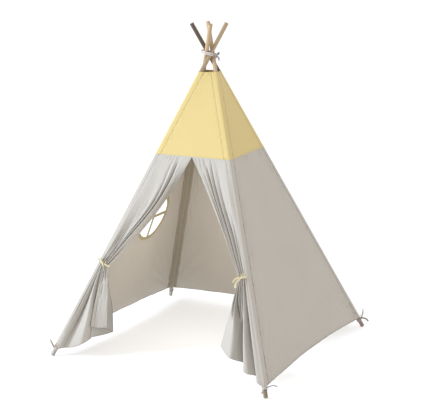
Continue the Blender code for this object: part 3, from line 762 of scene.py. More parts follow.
def sleeve_seam(near, height, seed, stitch=SLEEVE_STITCH):
    """The line where the sleeve is sewn on, drawn in and puckered."""
    pucker = SEAM_PUCKERS * bell(near, stitch + 0.005, 0.009)
    pucker = pucker * ripples(near, height, 0.06, 0.020, seed) * ease(0.004, 0.012, near)
    return pucker - SEAM_GROOVE * bell(near, stitch, 0.0035)


def seam_shade(near, height, seed):
    """The uneven dark line that a puckered seam shows."""
    wander = 0.0026 * ripples(0, height, 1.0, 0.05, seed)
    strength = np.clip(0.7 + 0.4 * ripples(0, height, 1.0, 0.028, seed + 1), 0.25, 1)
    return strength * bell(near, SLEEVE_STITCH + wander, 0.0036)


def hem_shade(above):
    """The dark line under the folded edge of a hem."""
    return 0.75 * bell(above, 0, 0.0038)


def wall_relief(side, x, width, height):
    """How far a wall's cloth stands out of flat: slack, pulls from the ties, puckers at seams."""
    near, share = np.minimum(x, width - x), x / width
    below = SEAM_HEIGHT - height
    rise = np.clip((height - HEM_HEIGHT) / (SEAM_HEIGHT - HEM_HEIGHT), 0, 1)
    relief = -WALL_SLACK * np.sin(math.pi * share) ** 2 * np.sin(math.pi * rise) ** 0.7
    relief = relief + WALL_WAVES * ripples(x, height, 0.34, 0.55, side) * ease(0.02, 0.14, near)
    pucker = WALL_PUCKERS * np.exp(-below / 0.05) * ease(0, 0.006, below)
    relief = relief + pucker * ripples(x, height, 0.026, 0.4, 10 + side)
    for start, far in ((x, 0), (width - x, 1)):
        reach = np.hypot(start, height - HEM_HEIGHT) + 1e-6
        bearing = np.arctan2(start, height - HEM_HEIGHT + 1e-6)
        pull = np.exp(-reach / 0.20) * ease(0.01, 0.06, reach) * ease(0.02, 0.16, bearing)
        pull = pull * ripples(bearing, reach, 0.30, 1.2, 20 + 2 * side + far)
        lean = start + 0.10 * (height % 0.09)
        gather = 1.5 * bell(start, 0.042, 0.026) * ease(0.0, 0.25, below + 0.1)
        gather = gather * ripples(lean, height, 0.021, 0.16, 30 + 2 * side + far)
        relief = relief + WALL_PULLS * pull + WALL_GATHERS * gather
    hem = HEM_WAVES * np.exp(-(height - hem_height(share)) / 0.05)
    relief = relief + hem * ripples(x, height, 0.11, 1.0, 50 + side)
    return relief * ease(0.0, 0.03, near) + sleeve_seam(near, height, 52 + side)


def top_relief(side, x, width, height):
    """The same for a side of the top, which is stretched tighter."""
    near, above = np.minimum(x, width - x), height - SEAM_HEIGHT
    rise = np.clip(above / (RIM_HEIGHT - SEAM_HEIGHT), 0, 1)
    slack = -TOP_SLACK * np.sin(math.pi * x / width) ** 2 * np.sin(math.pi * rise)
    pucker = TOP_PUCKERS * np.exp(-above / 0.03) * ripples(x, height, 0.024, 0.4, 60 + side)
    gather = TOP_GATHERS * bell(near, 0.026, 0.014)
    gather = gather * ripples(near, height, 0.03, 0.045, 70 + side)
    rim = RIM_PUCKERS * np.exp(-(RIM_HEIGHT - height) / 0.05)
    rim = rim * ripples(x, height, 0.022, 0.2, 80 + side)
    relief = (slack + pucker + gather + rim) * ease(0.0, 0.014, near)
    return relief + sleeve_seam(near, height, 56 + side)


def dense(count, *zones):
    """Shares 0 to 1, closer together round each zone (place, reach, weight)."""
    fine = np.linspace(0, 1, 2001)
    weight = np.ones_like(fine)
    for place, reach, heavy in zones:
        weight += heavy * bell(fine, place, reach)
    total = np.cumsum(weight) - weight[0]
    return np.interp(np.linspace(0, total[-1], count + 1), total, fine)


def window_place():
    """The window's middle, and its level, slope and outward directions."""
    start, along, _, width = wall_frame(3, WINDOW_HEIGHT)
    centre = start + along * width * WINDOW_ACROSS
    start, higher_along, _, width = wall_frame(3, WINDOW_HEIGHT + WINDOW_RADIUS)
    slope = unit(start + higher_along * width * WINDOW_ACROSS - centre)
    normal = unit(np.cross(along, slope))
    return centre, along, unit(np.cross(normal, along)), normal


def cut_window(grid):
    """Draws the grid's points onto the window's edge, and drops the cells inside it."""
    centre, level, slope, _ = window_place()
    arm = grid - centre
    x, y = arm @ level, arm @ slope
    away = np.hypot(x, y)
    placed = np.where(np.abs(away - WINDOW_RADIUS) < 0.0055, WINDOW_RADIUS, away)
    move = placed / np.maximum(away, 1e-6) - 1
    grid = grid + level * (x * move)[..., None] + slope * (y * move)[..., None]
    middle = (placed[:-1, :-1] + placed[1:, :-1] + placed[:-1, 1:] + placed[1:, 1:]) / 4
    return grid, middle >= WINDOW_RADIUS - 1e-4


def make_panel(side, corner, top):
    """One corner's part of a side of the top or the walls, and its rows of stitches."""
    own, at_first = CORNERS[corner % 4], corner % 4 == side
    name = f"{SIDES[side]}_{'top' if top else 'wall'}_{own}"
    split = 0.5 if top else SPLITS[side]
    first, last = (0, split) if at_first else (split, 1)
    pole_end = 0.0 if at_first else 1.0
    if top:
        columns, rows = dense(56, (pole_end, 0.15, 3)), dense(64, (0, 0.05, 3), (1, 0.05, 3))
        relief, cloth, slot, lap = top_relief, YELLOW_COTTON, "yellow_cotton", SEAM_LAP
        kind, thread, seam_shade_weight = "yellow", YELLOW_THREAD, 0.35
    else:
        columns = dense(int(170 * (last - first)), (pole_end, 0.02 / (last - first), 5))
        rows = dense(128, (0, 0.03, 3), (1, 0.04, 1.5))
        relief, cloth, slot, lap = wall_relief, GREY_COTTON, "grey_cotton", HEM_FOLD
        kind, thread, seam_shade_weight = "grey", GREY_THREAD, 0.8
    share = first + (last - first) * columns[None, :]
    low = SEAM_HEIGHT + 0 * share if top else hem_height(share)
    height = low + ((RIM_HEIGHT if top else SEAM_HEIGHT) - low) * rows[:, None]
    start, along, face, width = wall_frame(side, height)
    x = share * width
    grid = start + along * x[..., None] + face * relief(side, x, width, height)[..., None]
    uv = np.stack([x - width / 2, (height - HEM_HEIGHT) / math.cos(WALL_TILT)], -1)
    above, from_rim = height - height[:1], height - height[-1:]
    edges = [(above, lap), (-from_rim, HEM_FOLD)] if top else [(above, lap)]
    thickness = CLOTH * (1 + LAP_THICKER * doubled(edges))
    keep, hole = None, 0
    if name == "left_wall_back_left":
        grid, keep = cut_window(grid)
        hole = math.pi * WINDOW_RADIUS**2
    near = np.linalg.norm((grid - cloth_start(side, corner, height))[..., :2], axis=-1)
    # Painted shade: an uneven dark line along the sleeve seam, fainter on the top and on the front,
    # a dark line under a wall's hem, and darker folds
    shade = seam_shade(near, height, 140 + side) * (seam_shade_weight if side else 0.12)
    if not top:
        shade = shade + hem_shade(above)
    painted_shade = np.clip(fold_shade(grid, 0.35) + shade, 0, 0.9)
    thing = cloth_sheet(name + "_cloth", grid, uv, cloth, thickness, keep, painted_shade)
    flat = fold_flat(side, corner, float(height.min()), float(height.max()), last - first)
    ride_leg(thing, corner, [name], flat)
    outer = under_stitches(grid, thickness)
    uprights = outer.transpose(1, 0, 2)
    lines = [line_at(lap - STITCH_INSET, above.T, uprights)]
    if top:
        lines.append(line_at(0.0025, above.T, uprights))
        lines.append(line_at(STITCH_INSET - HEM_FOLD, from_rim.T, uprights))
    away = np.linalg.norm((grid - start)[..., :2], axis=-1)
    away = away if at_first else width - away
    reaches = away.max(1) > SLEEVE_STITCH
    lines.append(line_at(SLEEVE_STITCH, away[reaches], outer[reaches]))
    STITCH_RUNS[(corner % 4, side, top, kind)] = (thread, lines, flat)


def make_corner_cloth(corner, top):
    """The strip of the cover that goes round a pole."""
    own = CORNERS[corner]
    low, high = (SEAM_HEIGHT, RIM_HEIGHT) if top else (HEM_HEIGHT, SEAM_HEIGHT)
    height = low + (high - low) * dense(64 if top else 120, (0, 0.03, 2), (1, 0.03, 2))
    before, after = wall_frame((corner - 1) % 4, height)[2], wall_frame(corner, height)[2]
    middle = pole_point(corner, height)
    turn = np.arccos(np.clip((before * after).sum(-1), -1, 1))[:, None]
    faces = [(before * np.sin((1 - share) * turn) + after * np.sin(share * turn)) / np.sin(turn)
             for share in np.linspace(0, 1, 13)]
    grid = np.stack([middle + face * COVER_OFFSET for face in faces], 1)
    across = np.linspace(-1, 1, 13)[None, :] * COVER_OFFSET * 0.785
    uv = side_by_side(across, ((height - HEM_HEIGHT) / math.cos(TILT))[:, None])
    above = np.broadcast_to((height - low)[:, None], grid.shape[:2])
    edges = [(above, SEAM_LAP), (high - low - above, HEM_FOLD)] if top else [(above, HEM_FOLD)]
    thickness = CLOTH * (1 + LAP_THICKER * doubled(edges))
    cloth, slot = (YELLOW_COTTON, "yellow_cotton") if top else (GREY_COTTON, "grey_cotton")
    name = f"{own}_corner_{'top' if top else 'cloth'}"
    thing = cloth_sheet(name, grid, uv, cloth, thickness)
    ride_leg(thing, corner)


def make_sleeve(corner):
    """The pocket inside a corner: a strip sewn to both walls, bowed round the pole."""
    own = CORNERS[corner]
    height = HEM_HEIGHT + 0.006 + (RIM_HEIGHT - HEM_HEIGHT - 0.008) * dense(110)
    middle = pole_point(corner, height)
    lay = COVER_OFFSET - SLEEVE_CLOTH - CLOTH
    sewn, faces = [], 0
    for side, way in (((corner - 1) % 4, -1), (corner, 1)):
        _, along, face, _ = wall_frame(side, height)
        stitch = SLEEVE_STITCH if side else CURTAIN_STITCH
        sewn.append((middle + face * lay + along * way * (stitch * 1.12 + 0.001),
                     middle + face * (lay - 0.002) + along * way * (stitch * 0.72)))
        faces = faces + face
    inward = -unit(faces)
    beside = np.cross(inward, UPWARD)
    radius = (POLE_RADIUS + 0.0007) / math.cos(TILT)
    arc = [middle + (inward * math.cos(t) + beside * math.sin(t)) * radius
           for t in np.linspace(-0.95, 0.95, 9)]
    start = sewn[0][0]
    if ((arc[0] - start) ** 2).sum() > ((arc[-1] - start) ** 2).sum():
        arc = arc[::-1]
    share = np.linspace(0, 1, 37)
    grid = smooth([*sewn[0], *arc, *sewn[1][::-1]], share).transpose(1, 0, 2)
    normal = surface_normals(grid)
    if (normal * (middle - grid.mean(1))[:, None]).sum(-1).mean() < 0:
        grid = grid[:, ::-1]
        normal = surface_normals(grid)
    wrinkle = ripples(share[None, :] * 0.06, height[:, None], 0.03, 0.05, 90 + corner)
    wrinkle = SLEEVE_WRINKLES * np.abs(wrinkle) * ease(0, 0.2, share)
    grid = grid - normal * wrinkle[..., None]
    uv = side_by_side((share[None, :] - 0.5) * 0.07, (height / math.cos(TILT))[:, None])
    thing = cloth_sheet(own + "_sleeve_cloth", grid, uv, SLEEVE_COTTON, SLEEVE_CLOTH)
    ride_leg(thing, corner, [own + "_sleeve"])


# The curtains. Each row lists, from pole to free edge, how far along the row each fold lies,
# as a share, and how far out it stands and how far it is lifted, in millimetres
EVEN = tuple(point / 12 for point in range(13))
LEVEL = (0,) * 13
TIED = ((0, .14, .25, .35, .44, .52, .59, .67, .74, .81, .88, .94, 1),
        (0, 1, -5, 10, -15, 13, -17, 16, -17, 15, -16, 11, -11), LEVEL)
LEFT_ROWS = {
    "seam": (EVEN, LEVEL, LEVEL),
    "upper": ((0, .12, .25, .38, .51, .62, .70, .79, .84, .87, .91, .955, 1),
              (0, 4, 0, -5, -7, -3, -10, 18, -21, 12, 6, -6, -17), LEVEL),
    "above": ((0, .13, .25, .36, .46, .55, .61, .70, .75, .785, .84, .915, 1),
              (0, 6, -5, -12, -13, -3, -21, 22, -29, 18, 6, -6, -18), LEVEL),
    "tie": TIED,
    "below": ((0, .07, .17, .36, .45, .52, .76, .62, .69, .77, .85, .93, 1),
              (0, 4, -15, 20, -10, 11, -28, 14, 13, 14, 14, 14, 14),
              (0, 0, 0, 0, 0, 0, 0, 6, 6, 6, 5, 4, 4)),
    "lower": ((0, .05, .16, .49, .57, .61, .92, .63, .69, .76, .84, .92, .99),
              (0, 7, -17, 35, -3, 8, -38, 13, 15, 17, 19, 21, 22),
              (0, -2, -4, 3, 7, 10, 2, 40, 37, 32, 28, 25, 22)),
    "hem": ((0, .05, .16, .53, .63, .67, .95, .68, .73, .785, .84, .90, .965),
            (0, 4, -6, 42, 6, 9, -39, 14, 16, 18, 20, 22, 23),
            (0, -8, -7, 14, 24, 29, 6, 80, 73, 64, 56, 48, 41)),
}
RIGHT_ROWS = {
    "seam": (EVEN, LEVEL, LEVEL),
    "upper": ((0, .12, .24, .37, .50, .60, .67, .73, .78, .82, .87, .93, 1),
              (0, 9, 6, 2, -6, 2, -12, 7, -17, 5, -1, 5, 2), LEVEL),
    "above": ((0, .12, .24, .36, .47, .56, .62, .69, .74, .79, .85, .92, 1),
              (0, 1, -5, 2, -10, 11, -28, 20, -34, 17, -11, 11, 0), LEVEL),
    "tie": TIED,
    "below": ((0, .11, .20, .30, .39, .47, .55, .63, .71, .78, .85, .92, 1),
              (0, 6, -19, 21, -6, 13, -33, 9, -31, 20, -12, 16, -12), LEVEL),
    "lower": ((0, .10, .20, .30, .37, .42, .49, .56, .62, .69, .78, .89, 1),
              (0, 12, -22, 26, 22, -14, -42, -40, 0, 26, 22, 10, -8), LEVEL),
    "hem": ((0, .09, .19, .29, .37, .42, .49, .56, .62, .69, .78, .89, 1),
            (0, 14, -14, 26, 30, -6, -38, -40, 2, 30, 26, 12, -6),
            (0, 0, 0, 0, 0, -8, -20, -20, -8, 0, 0, 0, 0)),
}
UPPER_ROWS = ("seam", "upper", "above", "tie")
LOWER_ROWS = ("tie", "below", "lower", "hem")
TIE_SHARE = 0.5625
GATHER_WIDTHS = (0.051, 0.031)
CURTAIN_ROOM = 0.0145
# The free edge: its drop below the tie, its swing and its tuck, how far it sags, and how soon
# the folds settle away from the tie
LEFT_EDGE = dict(
    drop=0.333, swing=0.016, power=0.5, tuck=0.010, dip=0.030, sag=0.030, settle=0.75)
RIGHT_EDGE = dict(
    drop=0.328, swing=0.090, power=0.85, tuck=0.030, dip=-0.014, sag=-0.012, settle=0.90)


def square_to_pole(corner):
    """Across the front at the tie, square to the pole, away from it."""
    along = wall_frame(0, TIE_HEIGHTS[corner])[1] * (-1 if corner else 1)
    return unit(along - UP[corner] * (along @ UP[corner]))


def curtain_grid(corner, rows_of, edge, columns, down):
    """Points of a curtain from pole to free edge, down from the seam to the hem."""
    toward, tie_height = (-1 if corner else 1), TIE_HEIGHTS[corner]
    upper = down <= TIE_SHARE
    t = np.where(upper, down / TIE_SHARE, (down - TIE_SHARE) / (1 - TIE_SHARE))
    apart = np.where(upper, 1 - t, t) ** edge["settle"]
    fold_t = np.where(upper, 1 - apart, apart)
    over, under = (smooth([rows_of[row] for row in names], fold_t)
                   for names in (UPPER_ROWS, LOWER_ROWS))
    table = np.where(upper[:, None, None], over, under)
    lines = smooth(table.transpose(2, 0, 1), columns).transpose(1, 0, 2)
    share, fold, lift = lines[..., 0], lines[..., 1] / 1000, lines[..., 2] / 1000
    tie = cloth_start(0, corner, tie_height) + square_to_pole(corner) * GATHER_WIDTHS[corner]
    start, along, _, width = wall_frame(0, SEAM_HEIGHT)
    top = start + along * width / 2
    _, level, out, _ = wall_frame(0, tie_height)
    level, tt = level * toward, t[:, None]
    above = top + (tie - top) * tt + level * edge["sag"] * np.sin(math.pi * tt)
    below = tie + level * edge["swing"] * tt ** edge["power"] + out * edge["tuck"] * tt
    free = np.where(upper[:, None], above, below - UPWARD * edge["drop"] * tt)
    pole = cloth_start(0, corner, np.where(upper, SEAM_HEIGHT + (tie_height - SEAM_HEIGHT) * t,
                                           tie_height + (HEM_HEIGHT - tie_height) * t))
    point = pole[:, None] + (free - pole)[:, None] * share[..., None]
    lowered = np.where(upper, 0, t)[:, None] * np.sin(math.pi * np.clip(share, 0, 1))
    point[..., 2] += lift - edge["dip"] * lowered
    height = point[..., 2]
    begin = cloth_start(0, corner, height)
    _, along, face, _ = wall_frame(0, height)
    beside = ((point - begin) * along).sum(-1) * toward
    stand = ((point - begin) * face).sum(-1) + fold
    fade = ease(0, 0.02, np.abs(beside))
    a, b = columns[None, :], down[:, None]
    fine = 0.0006 * ripples(a, b, 0.16, 0.30, 100 + corner)
    fine = fine + 0.0002 * ripples(a + 0.3 * b, b, 0.09, 0.06, 120 + corner)
    stand = stand + fine * fade * ease(0, 0.08, b)
    stand = np.where(stand < 0, stand * np.clip((beside - CURTAIN_ROOM) / 0.014, 0, 1), stand)
    pucker = CURTAIN_PUCKERS * np.exp(-(SEAM_HEIGHT - height) / 0.05)
    pucker = pucker * ripples(beside, height, 0.022, 0.4, 110 + corner)
    stand = stand + pucker * ease(0, 0.01, SEAM_HEIGHT - height) * fade
    stand = stand + sleeve_seam(np.abs(beside), height, 130 + corner, CURTAIN_STITCH)
    return begin + along * (beside * toward)[..., None] + face * stand[..., None]


def make_curtain(corner, rows_of, edge):
    """A curtain and its stitches. Gives back its points, for the tie-back to close round."""
    own = CORNERS[corner]
    columns = dense(220, (0, 0.05, 0.5), (1, 0.02, 4))
    rows = dense(150, (TIE_SHARE, 0.06, 1.2), (1, 0.02, 3), (0, 0.02, 1.5))
    grid = curtain_grid(corner, rows_of, edge, columns, rows)[::-1]
    if corner:
        grid, columns = grid[:, ::-1], columns[::-1]
    across = np.stack([run_along(row) for row in grid])
    from_hem = np.broadcast_to(run_along(grid[:, len(columns) // 2])[:, None], across.shape)
    uv = np.stack([across, from_hem], -1)
    from_free = across if corner else across[:, -1:] - across
    thickness = CLOTH * (1 + doubled([(from_free, FREE_HEM), (from_hem, HEM_FOLD)]))
    down, from_pole = rows[::-1, None], columns[None, :]
    # Painted shade: darker folds, more so where they are pinched at the tie, and a dark line under
    # the hem
    pinched = bell(down, TIE_SHARE, 0.05)
    painted_shade = fold_shade(grid, 0.75 + 0.2 * pinched, pinched) + 0.6 * hem_shade(from_hem)
    # On the left curtain, painted shade behind its flap and on the inward-turned band by its free
    # edge
    if corner == 0:
        shade_behind_flap = bell(from_pole, 0.49, 0.06) * ease(0.72, 0.93, down)
        free_band_shade = ease(0.84, 0.90, from_pole) * ease(0.02, 0.10, down)
        free_band_shade = free_band_shade * (1 - ease(0.20, 0.50, down))
        painted_shade = painted_shade + 0.35 * shade_behind_flap + 0.36 * free_band_shade
    painted_shade = np.clip(painted_shade, 0, 0.95)
    thing = cloth_sheet(
        own + "_curtain_cloth", grid, uv, LIT_CURTAIN_COTTON, thickness, painted_shade=painted_shade)
    flat = fold_flat(0, corner, HEM_HEIGHT, SEAM_HEIGHT)
    ride_leg(thing, corner, [own + "_curtain"], flat)
    outer = under_stitches(grid, thickness)
    lines = [line_at(0.0075, from_free, outer),
             line_at(0.0112, from_hem.T, outer.transpose(1, 0, 2))]
    STITCH_RUNS[(corner, 0, False, "curtain")] = (GREY_THREAD, lines, flat)
    return grid


# The window's binding and crossed ribbons

def make_window():
    centre, level, slope, normal = window_place()
    flat = fold_flat(3, 3, HEM_HEIGHT, SEAM_HEIGHT, 1 - SPLITS[3])

    def cloth_middle(places):
        """How far the slack wall stands out of the window's flat at places on its edge."""
        start, along, face, width = wall_frame(3, places[..., 2])
        x = ((places - start) * along).sum(-1)
        return wall_relief(3, x, width, places[..., 2]) * (face @ normal) + CLOTH / 2

    def round_edge(count, reach, lift):
        turn = np.linspace(0, math.tau, count)[:, None]
        out = level * np.cos(turn) + slope * np.sin(turn)
        stand = cloth_middle(centre + out * WINDOW_RADIUS)[:, None] + lift
        return turn, out, centre + out * (WINDOW_RADIUS + reach) + normal * stand

    turn, out, middle = (line[:-1] for line in round_edge(145, 0.0005, 0))
    middle = middle + out * (0.0006 * np.sin(9 * turn + 1) + 0.0004 * np.sin(23 * turn))
    section = round_angles(12)
    x = softened(np.cos(section), 0.6)[:, None] * BINDING_WIDTH / 2
    y = softened(np.sin(section), 0.8)[:, None] * 0.0019
    rings = middle[:, None] + out[:, None] * x - normal * y
    uv = side_by_side(section[None, :] * 0.0027, turn * WINDOW_RADIUS)
    thing = tube_mesh("window_binding_tape", rings, uv, OLIVE_TAPE, 60, closed=True)
    ride_leg(thing, 3, ["window_binding"], flat)
    edges = [round_edge(200, 0.0068, lift)[2] for lift in (0.0018, -0.0018)]
    STITCH_RUNS[(3, 3, False, "window")] = (OLIVE_TAPE, edges, flat)
    lifts = cloth_middle(centre + np.array([slope, -slope, level, -level]) * WINDOW_RADIUS)
    along = np.linspace(-1, 1, 41)
    reach = (along * (WINDOW_RADIUS - 0.0040))[:, None]
    for name, run, wide, ends, lift in (("upright", slope, level, lifts[1::-1], -0.0007),
                                        ("level", level, slope, lifts[:1:-1], 0.0007)):
        stand = np.interp(along, (-1, 1), ends)
        stand = stand + (lifts.mean() - ends.mean() + lift) * (1 - along**2)
        path = centre + run * reach + normal * stand[:, None]
        tape = ribbon(f"window_{name}_tape", path, wide, RIBBON_WIDTH, 0.0008, OLIVE_TAPE)
        ride_leg(tape, 3, [f"window_{name}_ribbon"], flat)


# Bows and ties

def knot_axes(middle, x_way, y_way, z_way):
    """A function from places in a knot's own axes to places in the scene."""
    return lambda x, y, z: middle + x_way * x + y_way * y + z_way * z


def curl(at, points, steps):
    """A smooth path through points given in a knot's own axes."""
    return smooth([at(*point) for point in points], np.linspace(0, 1, steps))


def hull(points):
    """The convex outline of points in a plane, anticlockwise."""
    points = sorted(map(tuple, points))

    def half(ordered):
        chain = []
        for p in ordered:
            while len(chain) > 1 and (
                (chain[-1][0] - chain[-2][0]) * (p[1] - chain[-2][1])
                - (chain[-1][1] - chain[-2][1]) * (p[0] - chain[-2][0])
            ) <= 0:
                chain.pop()
            chain.append(p)
        return chain[:-1]

    return np.array(half(points) + half(points[::-1]))


def tie_band(corner, grid, middle, across, out, face):
    """The band's way round a gathered curtain, from the corner to under the pole."""
    arm = grid - middle
    close = np.abs(arm @ UP[corner]) < 0.007
    gap, begin, under = 0.0016, (-0.004, face + 0.001), (0.0135, -0.001)
    cloud = [(x + gap * math.cos(a), y + gap * math.sin(a))
             for x, y in zip((arm @ across)[close], (arm @ out)[close])
             for a in round_angles(8) if x > 0.004]
    line = hull([*cloud, begin, under])
    line = np.roll(line, -np.argmin(np.hypot(*(line - begin).T)), axis=0)
    end = np.argmin(np.hypot(*(line - under).T))
    ways = line[:end + 1], np.concatenate([line[end:], line[:1]])[::-1]
    chain = max(ways, key=lambda way: way[:, 0].max())
    run = run_along(chain)
    even = np.linspace(0, run[-1], 60)
    chain = np.stack([np.interp(even, run, chain[:, k]) for k in (0, 1)], 1)
    relax(chain, 3)
    path = middle + across * chain[:, :1] + out * chain[:, 1:]
    return chain, path + UP[corner] * (0.0008 * np.sin(even / 0.011))[:, None]


BOW_LOOP = ((0.06, 0.10), (0.5, 0.8), (0.86, 0.72), (1.0, 0.0), (0.86, -0.62), (0.5, -0.7),
            (0.06, -0.10))
LEFT_BOW = (
    ((0.022, 0.007, 0.012), (-0.020, 0.009, 0.012)),
    (((0.014, 0.010, -0.006), (0.027, 0.010, -0.014), (0.036, 0.006, -0.030)),
     ((-0.012, 0.012, 0.010), (-0.024, 0.014, 0.016), (-0.036, 0.012, 0.010))),
)
RIGHT_BOW = (
    ((-0.016, 0.008, 0.014), (0.018, 0.008, 0.014)),
    (((0.016, 0.012, 0.0), (0.032, 0.012, -0.006), (0.045, 0.008, -0.014)),
     ((0.014, 0.014, -0.012), (0.028, 0.016, -0.026), (0.036, 0.010, -0.042))),
)


def make_tie_back(corner, grid, loops, tails):
    """A ribbon bow round a gathered curtain, knotted at its front."""
    own, up = CORNERS[corner], UP[corner]
    middle, across = pole_point(corner, TIE_HEIGHTS[corner]), square_to_pole(corner)
    out = np.cross(across, up) * (-1 if corner else 1)
    face = COVER_OFFSET * math.cos(TILT) + 0.0025
    chain, path = tie_band(corner, grid, middle, across, out, face)
    pieces = [ribbon(own + "_tie_band", path, up, 0.0095, 0.0008, CREAM_RIBBON, 0.02)]
    front = np.argmin(np.abs(chain[:45, 0] - POLE_RADIUS - GATHER_WIDTHS[corner] * 0.2))
    at = knot_axes(path[front] + out * 0.0042, across, out, up)
    wrap = np.array([at(0.0035 * math.cos(t), 0.0038 * math.sin(t), 0) for t in round_angles(24)])
    rings = sweep(np.concatenate([wrap, wrap[:1]]), up, 0.010, 0.0011, cup=0.05)[:-1]
    uv = ribbon_uv(wrap, 0.010)
    pieces.append(tube_mesh(own + "_tie_wrap", rings, uv, CREAM_RIBBON, closed=True))
    path = curl(at, ((-0.004, 0, 0.001), (0, 0.001, 0), (0.004, 0, -0.001)), 8)
    rings, uv = sweep(path, up, 0.0095, 0.0058, 0.7), ribbon_uv(np.zeros((8, 3)), 0.01)
    pieces.append(tube_mesh(own + "_tie_core", rings, uv, CREAM_RIBBON))
    for number, (x, y, z) in enumerate(loops):
        reach, swing = np.array([x, y, z]), np.array([-z, 0, x]) * 0.30
        path = curl(at, [reach * far + swing * apart for far, apart in BOW_LOOP], 30)
        wide = out * 0.9 + across * 0.25 * np.linspace(-1, 1, 30)[:, None]
        name = f"{own}_tie_loop_{number}"
        pieces.append(ribbon(name, path, wide, 0.0085, 0.0007, CREAM_RIBBON, 0.04))
    twist = np.linspace(0, 1, 24)[:, None]
    for number, points in enumerate(tails):
        path = curl(at, ((0, 0, 0), *points), 24)
        wide = up * (1 - 0.5 * twist) + out * 0.9 * np.sin(twist * 2.2 + number)
        name = f"{own}_tie_tail_{number}"
        pieces.append(ribbon(name, path, wide, 0.0085, 0.0006, CREAM_RIBBON, 0.05))
    flat = fold_flat(0, corner, HEM_HEIGHT, SEAM_HEIGHT)
    flat["anchor"] = tuple(middle + across * 0.014 + out * face)
    thing = merged(own + "_tie_bow", pieces)
    ride_leg(thing, corner, [own + "_tie_back"], flat)


# Each corner tie's two tails, and its loop if it has one
FOOT_TIES = (
    ([[(-0.010, 0.008, 0.008), (-0.021, 0.012, 0.014), (-0.029, 0.014, 0.022)],
      [(0.008, 0.010, 0.008), (0.014, 0.014, 0.018), (0.014, 0.014, 0.028)]],
     [(-0.006, 0.010, 0.018), (0.002, 0.012, 0.028), (0.008, 0.010, 0.016)]),
    ([[(0.016, 0.008, 0.004), (0.034, 0.012, 0.006), (0.052, 0.014, -0.001)],
      [(-0.008, 0.006, -0.008), (-0.016, 0.008, -0.018), (-0.020, 0.008, -0.026)]], None),
    ([[(-0.010, 0.014, -0.006), (-0.022, 0.024, -0.014), (-0.033, 0.030, -0.024)],
      [(0.010, 0.012, 0.012), (0.022, 0.018, 0.022), (0.030, 0.022, 0.026)]], None),
    ([[(-0.014, 0.012, -0.004), (-0.028, 0.020, -0.010), (-0.040, 0.026, -0.020)],
      [(0.012, 0.010, 0.006), (0.024, 0.016, 0.010), (0.032, 0.020, 0.004)]], None),
)


def make_corner_tie(corner, tails, loop):
    """The tape that ties the cover's corner to the foot of its pole."""
    own, up, (side, out) = CORNERS[corner], UP[corner], pole_axes(corner)
    # Three feet take the grey tape, partly as painted shade of their knots
    wrapped = WHITE_TAPE if corner < 2 else GREY_AND_SHADED_TAPE
    hanging = GREY_AND_SHADED_TAPE if corner else WHITE_TAPE
    below = (CROSSING_HEIGHT - HEM_HEIGHT) / math.cos(TILT) + 0.0135
    centre = JOINT + side * SWIRL - up * below
    radius = POLE_RADIUS + 0.0010
    turn = np.linspace(0, 3 * math.tau, 120)[:, None]
    path = centre + side * (radius * np.sin(turn)) + out * (radius * np.cos(turn))
    path = path + up * (0.0040 * np.cos(turn / 3) + 0.0006 * np.sin(3 * turn))
    path = path + (path - centre) * (0.10 * np.sin(turn / 6) ** 2 + 0.03 * np.sin(turn / 2) ** 2)
    pieces = [ribbon(own + "_foot_wrap", path, up, 0.0085, 0.0010, wrapped)]
    at = knot_axes(centre + out * (radius + 0.0046), side, out, UPWARD)
    path = curl(at, ((-0.0042, -0.001, 0.002), (0, 0.001, 0), (0.0042, -0.001, -0.002)), 10)
    rings = sweep(path, up, 0.0095, 0.0085, 0.75)
    pieces.append(tube_mesh(own + "_foot_knot", rings, ribbon_uv(path, 0.008), wrapped))
    tab = ((0.002, -0.001, 0.001), (0.003, -0.0005, 0.008), (0.002, -0.0022, 0.019))
    pieces.append(ribbon(own + "_foot_tab", curl(at, tab, 12), side, 0.0075, 0.0007, wrapped))
    twist = np.linspace(0, 1, 26)[:, None]
    for number, points in enumerate(tails):
        path = curl(at, ((0, 0, 0), *points), 26)
        wide = UPWARD * (1 - 0.6 * twist) + out * np.sin(twist * 2.6 + number)
        name = f"{own}_foot_tail_{number}"
        pieces.append(ribbon(name, path, wide, 0.0080, 0.0009, hanging, 0.04))
    if loop:
        path = curl(at, ((0, 0, 0), *loop, (0, 0, 0)), 30)
        pieces.append(ribbon(own + "_foot_loop", path, out, 0.0075, 0.0009, hanging, 0.04))
    ride_leg(merged(own + "_foot_tie", pieces), corner, [own + "_corner_tie"])


# The lashing, which falls by about a quarter toward the photo's right

LASHING_FALL = 0.24 * np.array([math.cos(math.radians(30.4)), math.sin(math.radians(30.4))])
LASHING_LEVEL = CROSSING_HEIGHT + 0.003
LASHING_TURNS = 3
LASHING_TAILS = (
    ((0.004, 0.008, -0.007), (0.008, 0.011, -0.014), (0.012, 0.010, -0.021),
     (0.016, 0.008, -0.026)),
    ((-0.010, 0.008, -0.006), (-0.018, 0.008, -0.015), (-0.024, 0.002, -0.024)),
)
LASHING_LOOPS = (
    ((0.006, 0.006, 0.008), (0.012, 0.009, 0.015), (0.016, 0.008, 0.010), (0.010, 0.006, 0.002)),
    ((-0.006, 0.006, 0.007), (-0.013, 0.008, 0.011), (-0.015, 0.007, 0.004),
     (-0.008, 0.006, -0.001)),
)


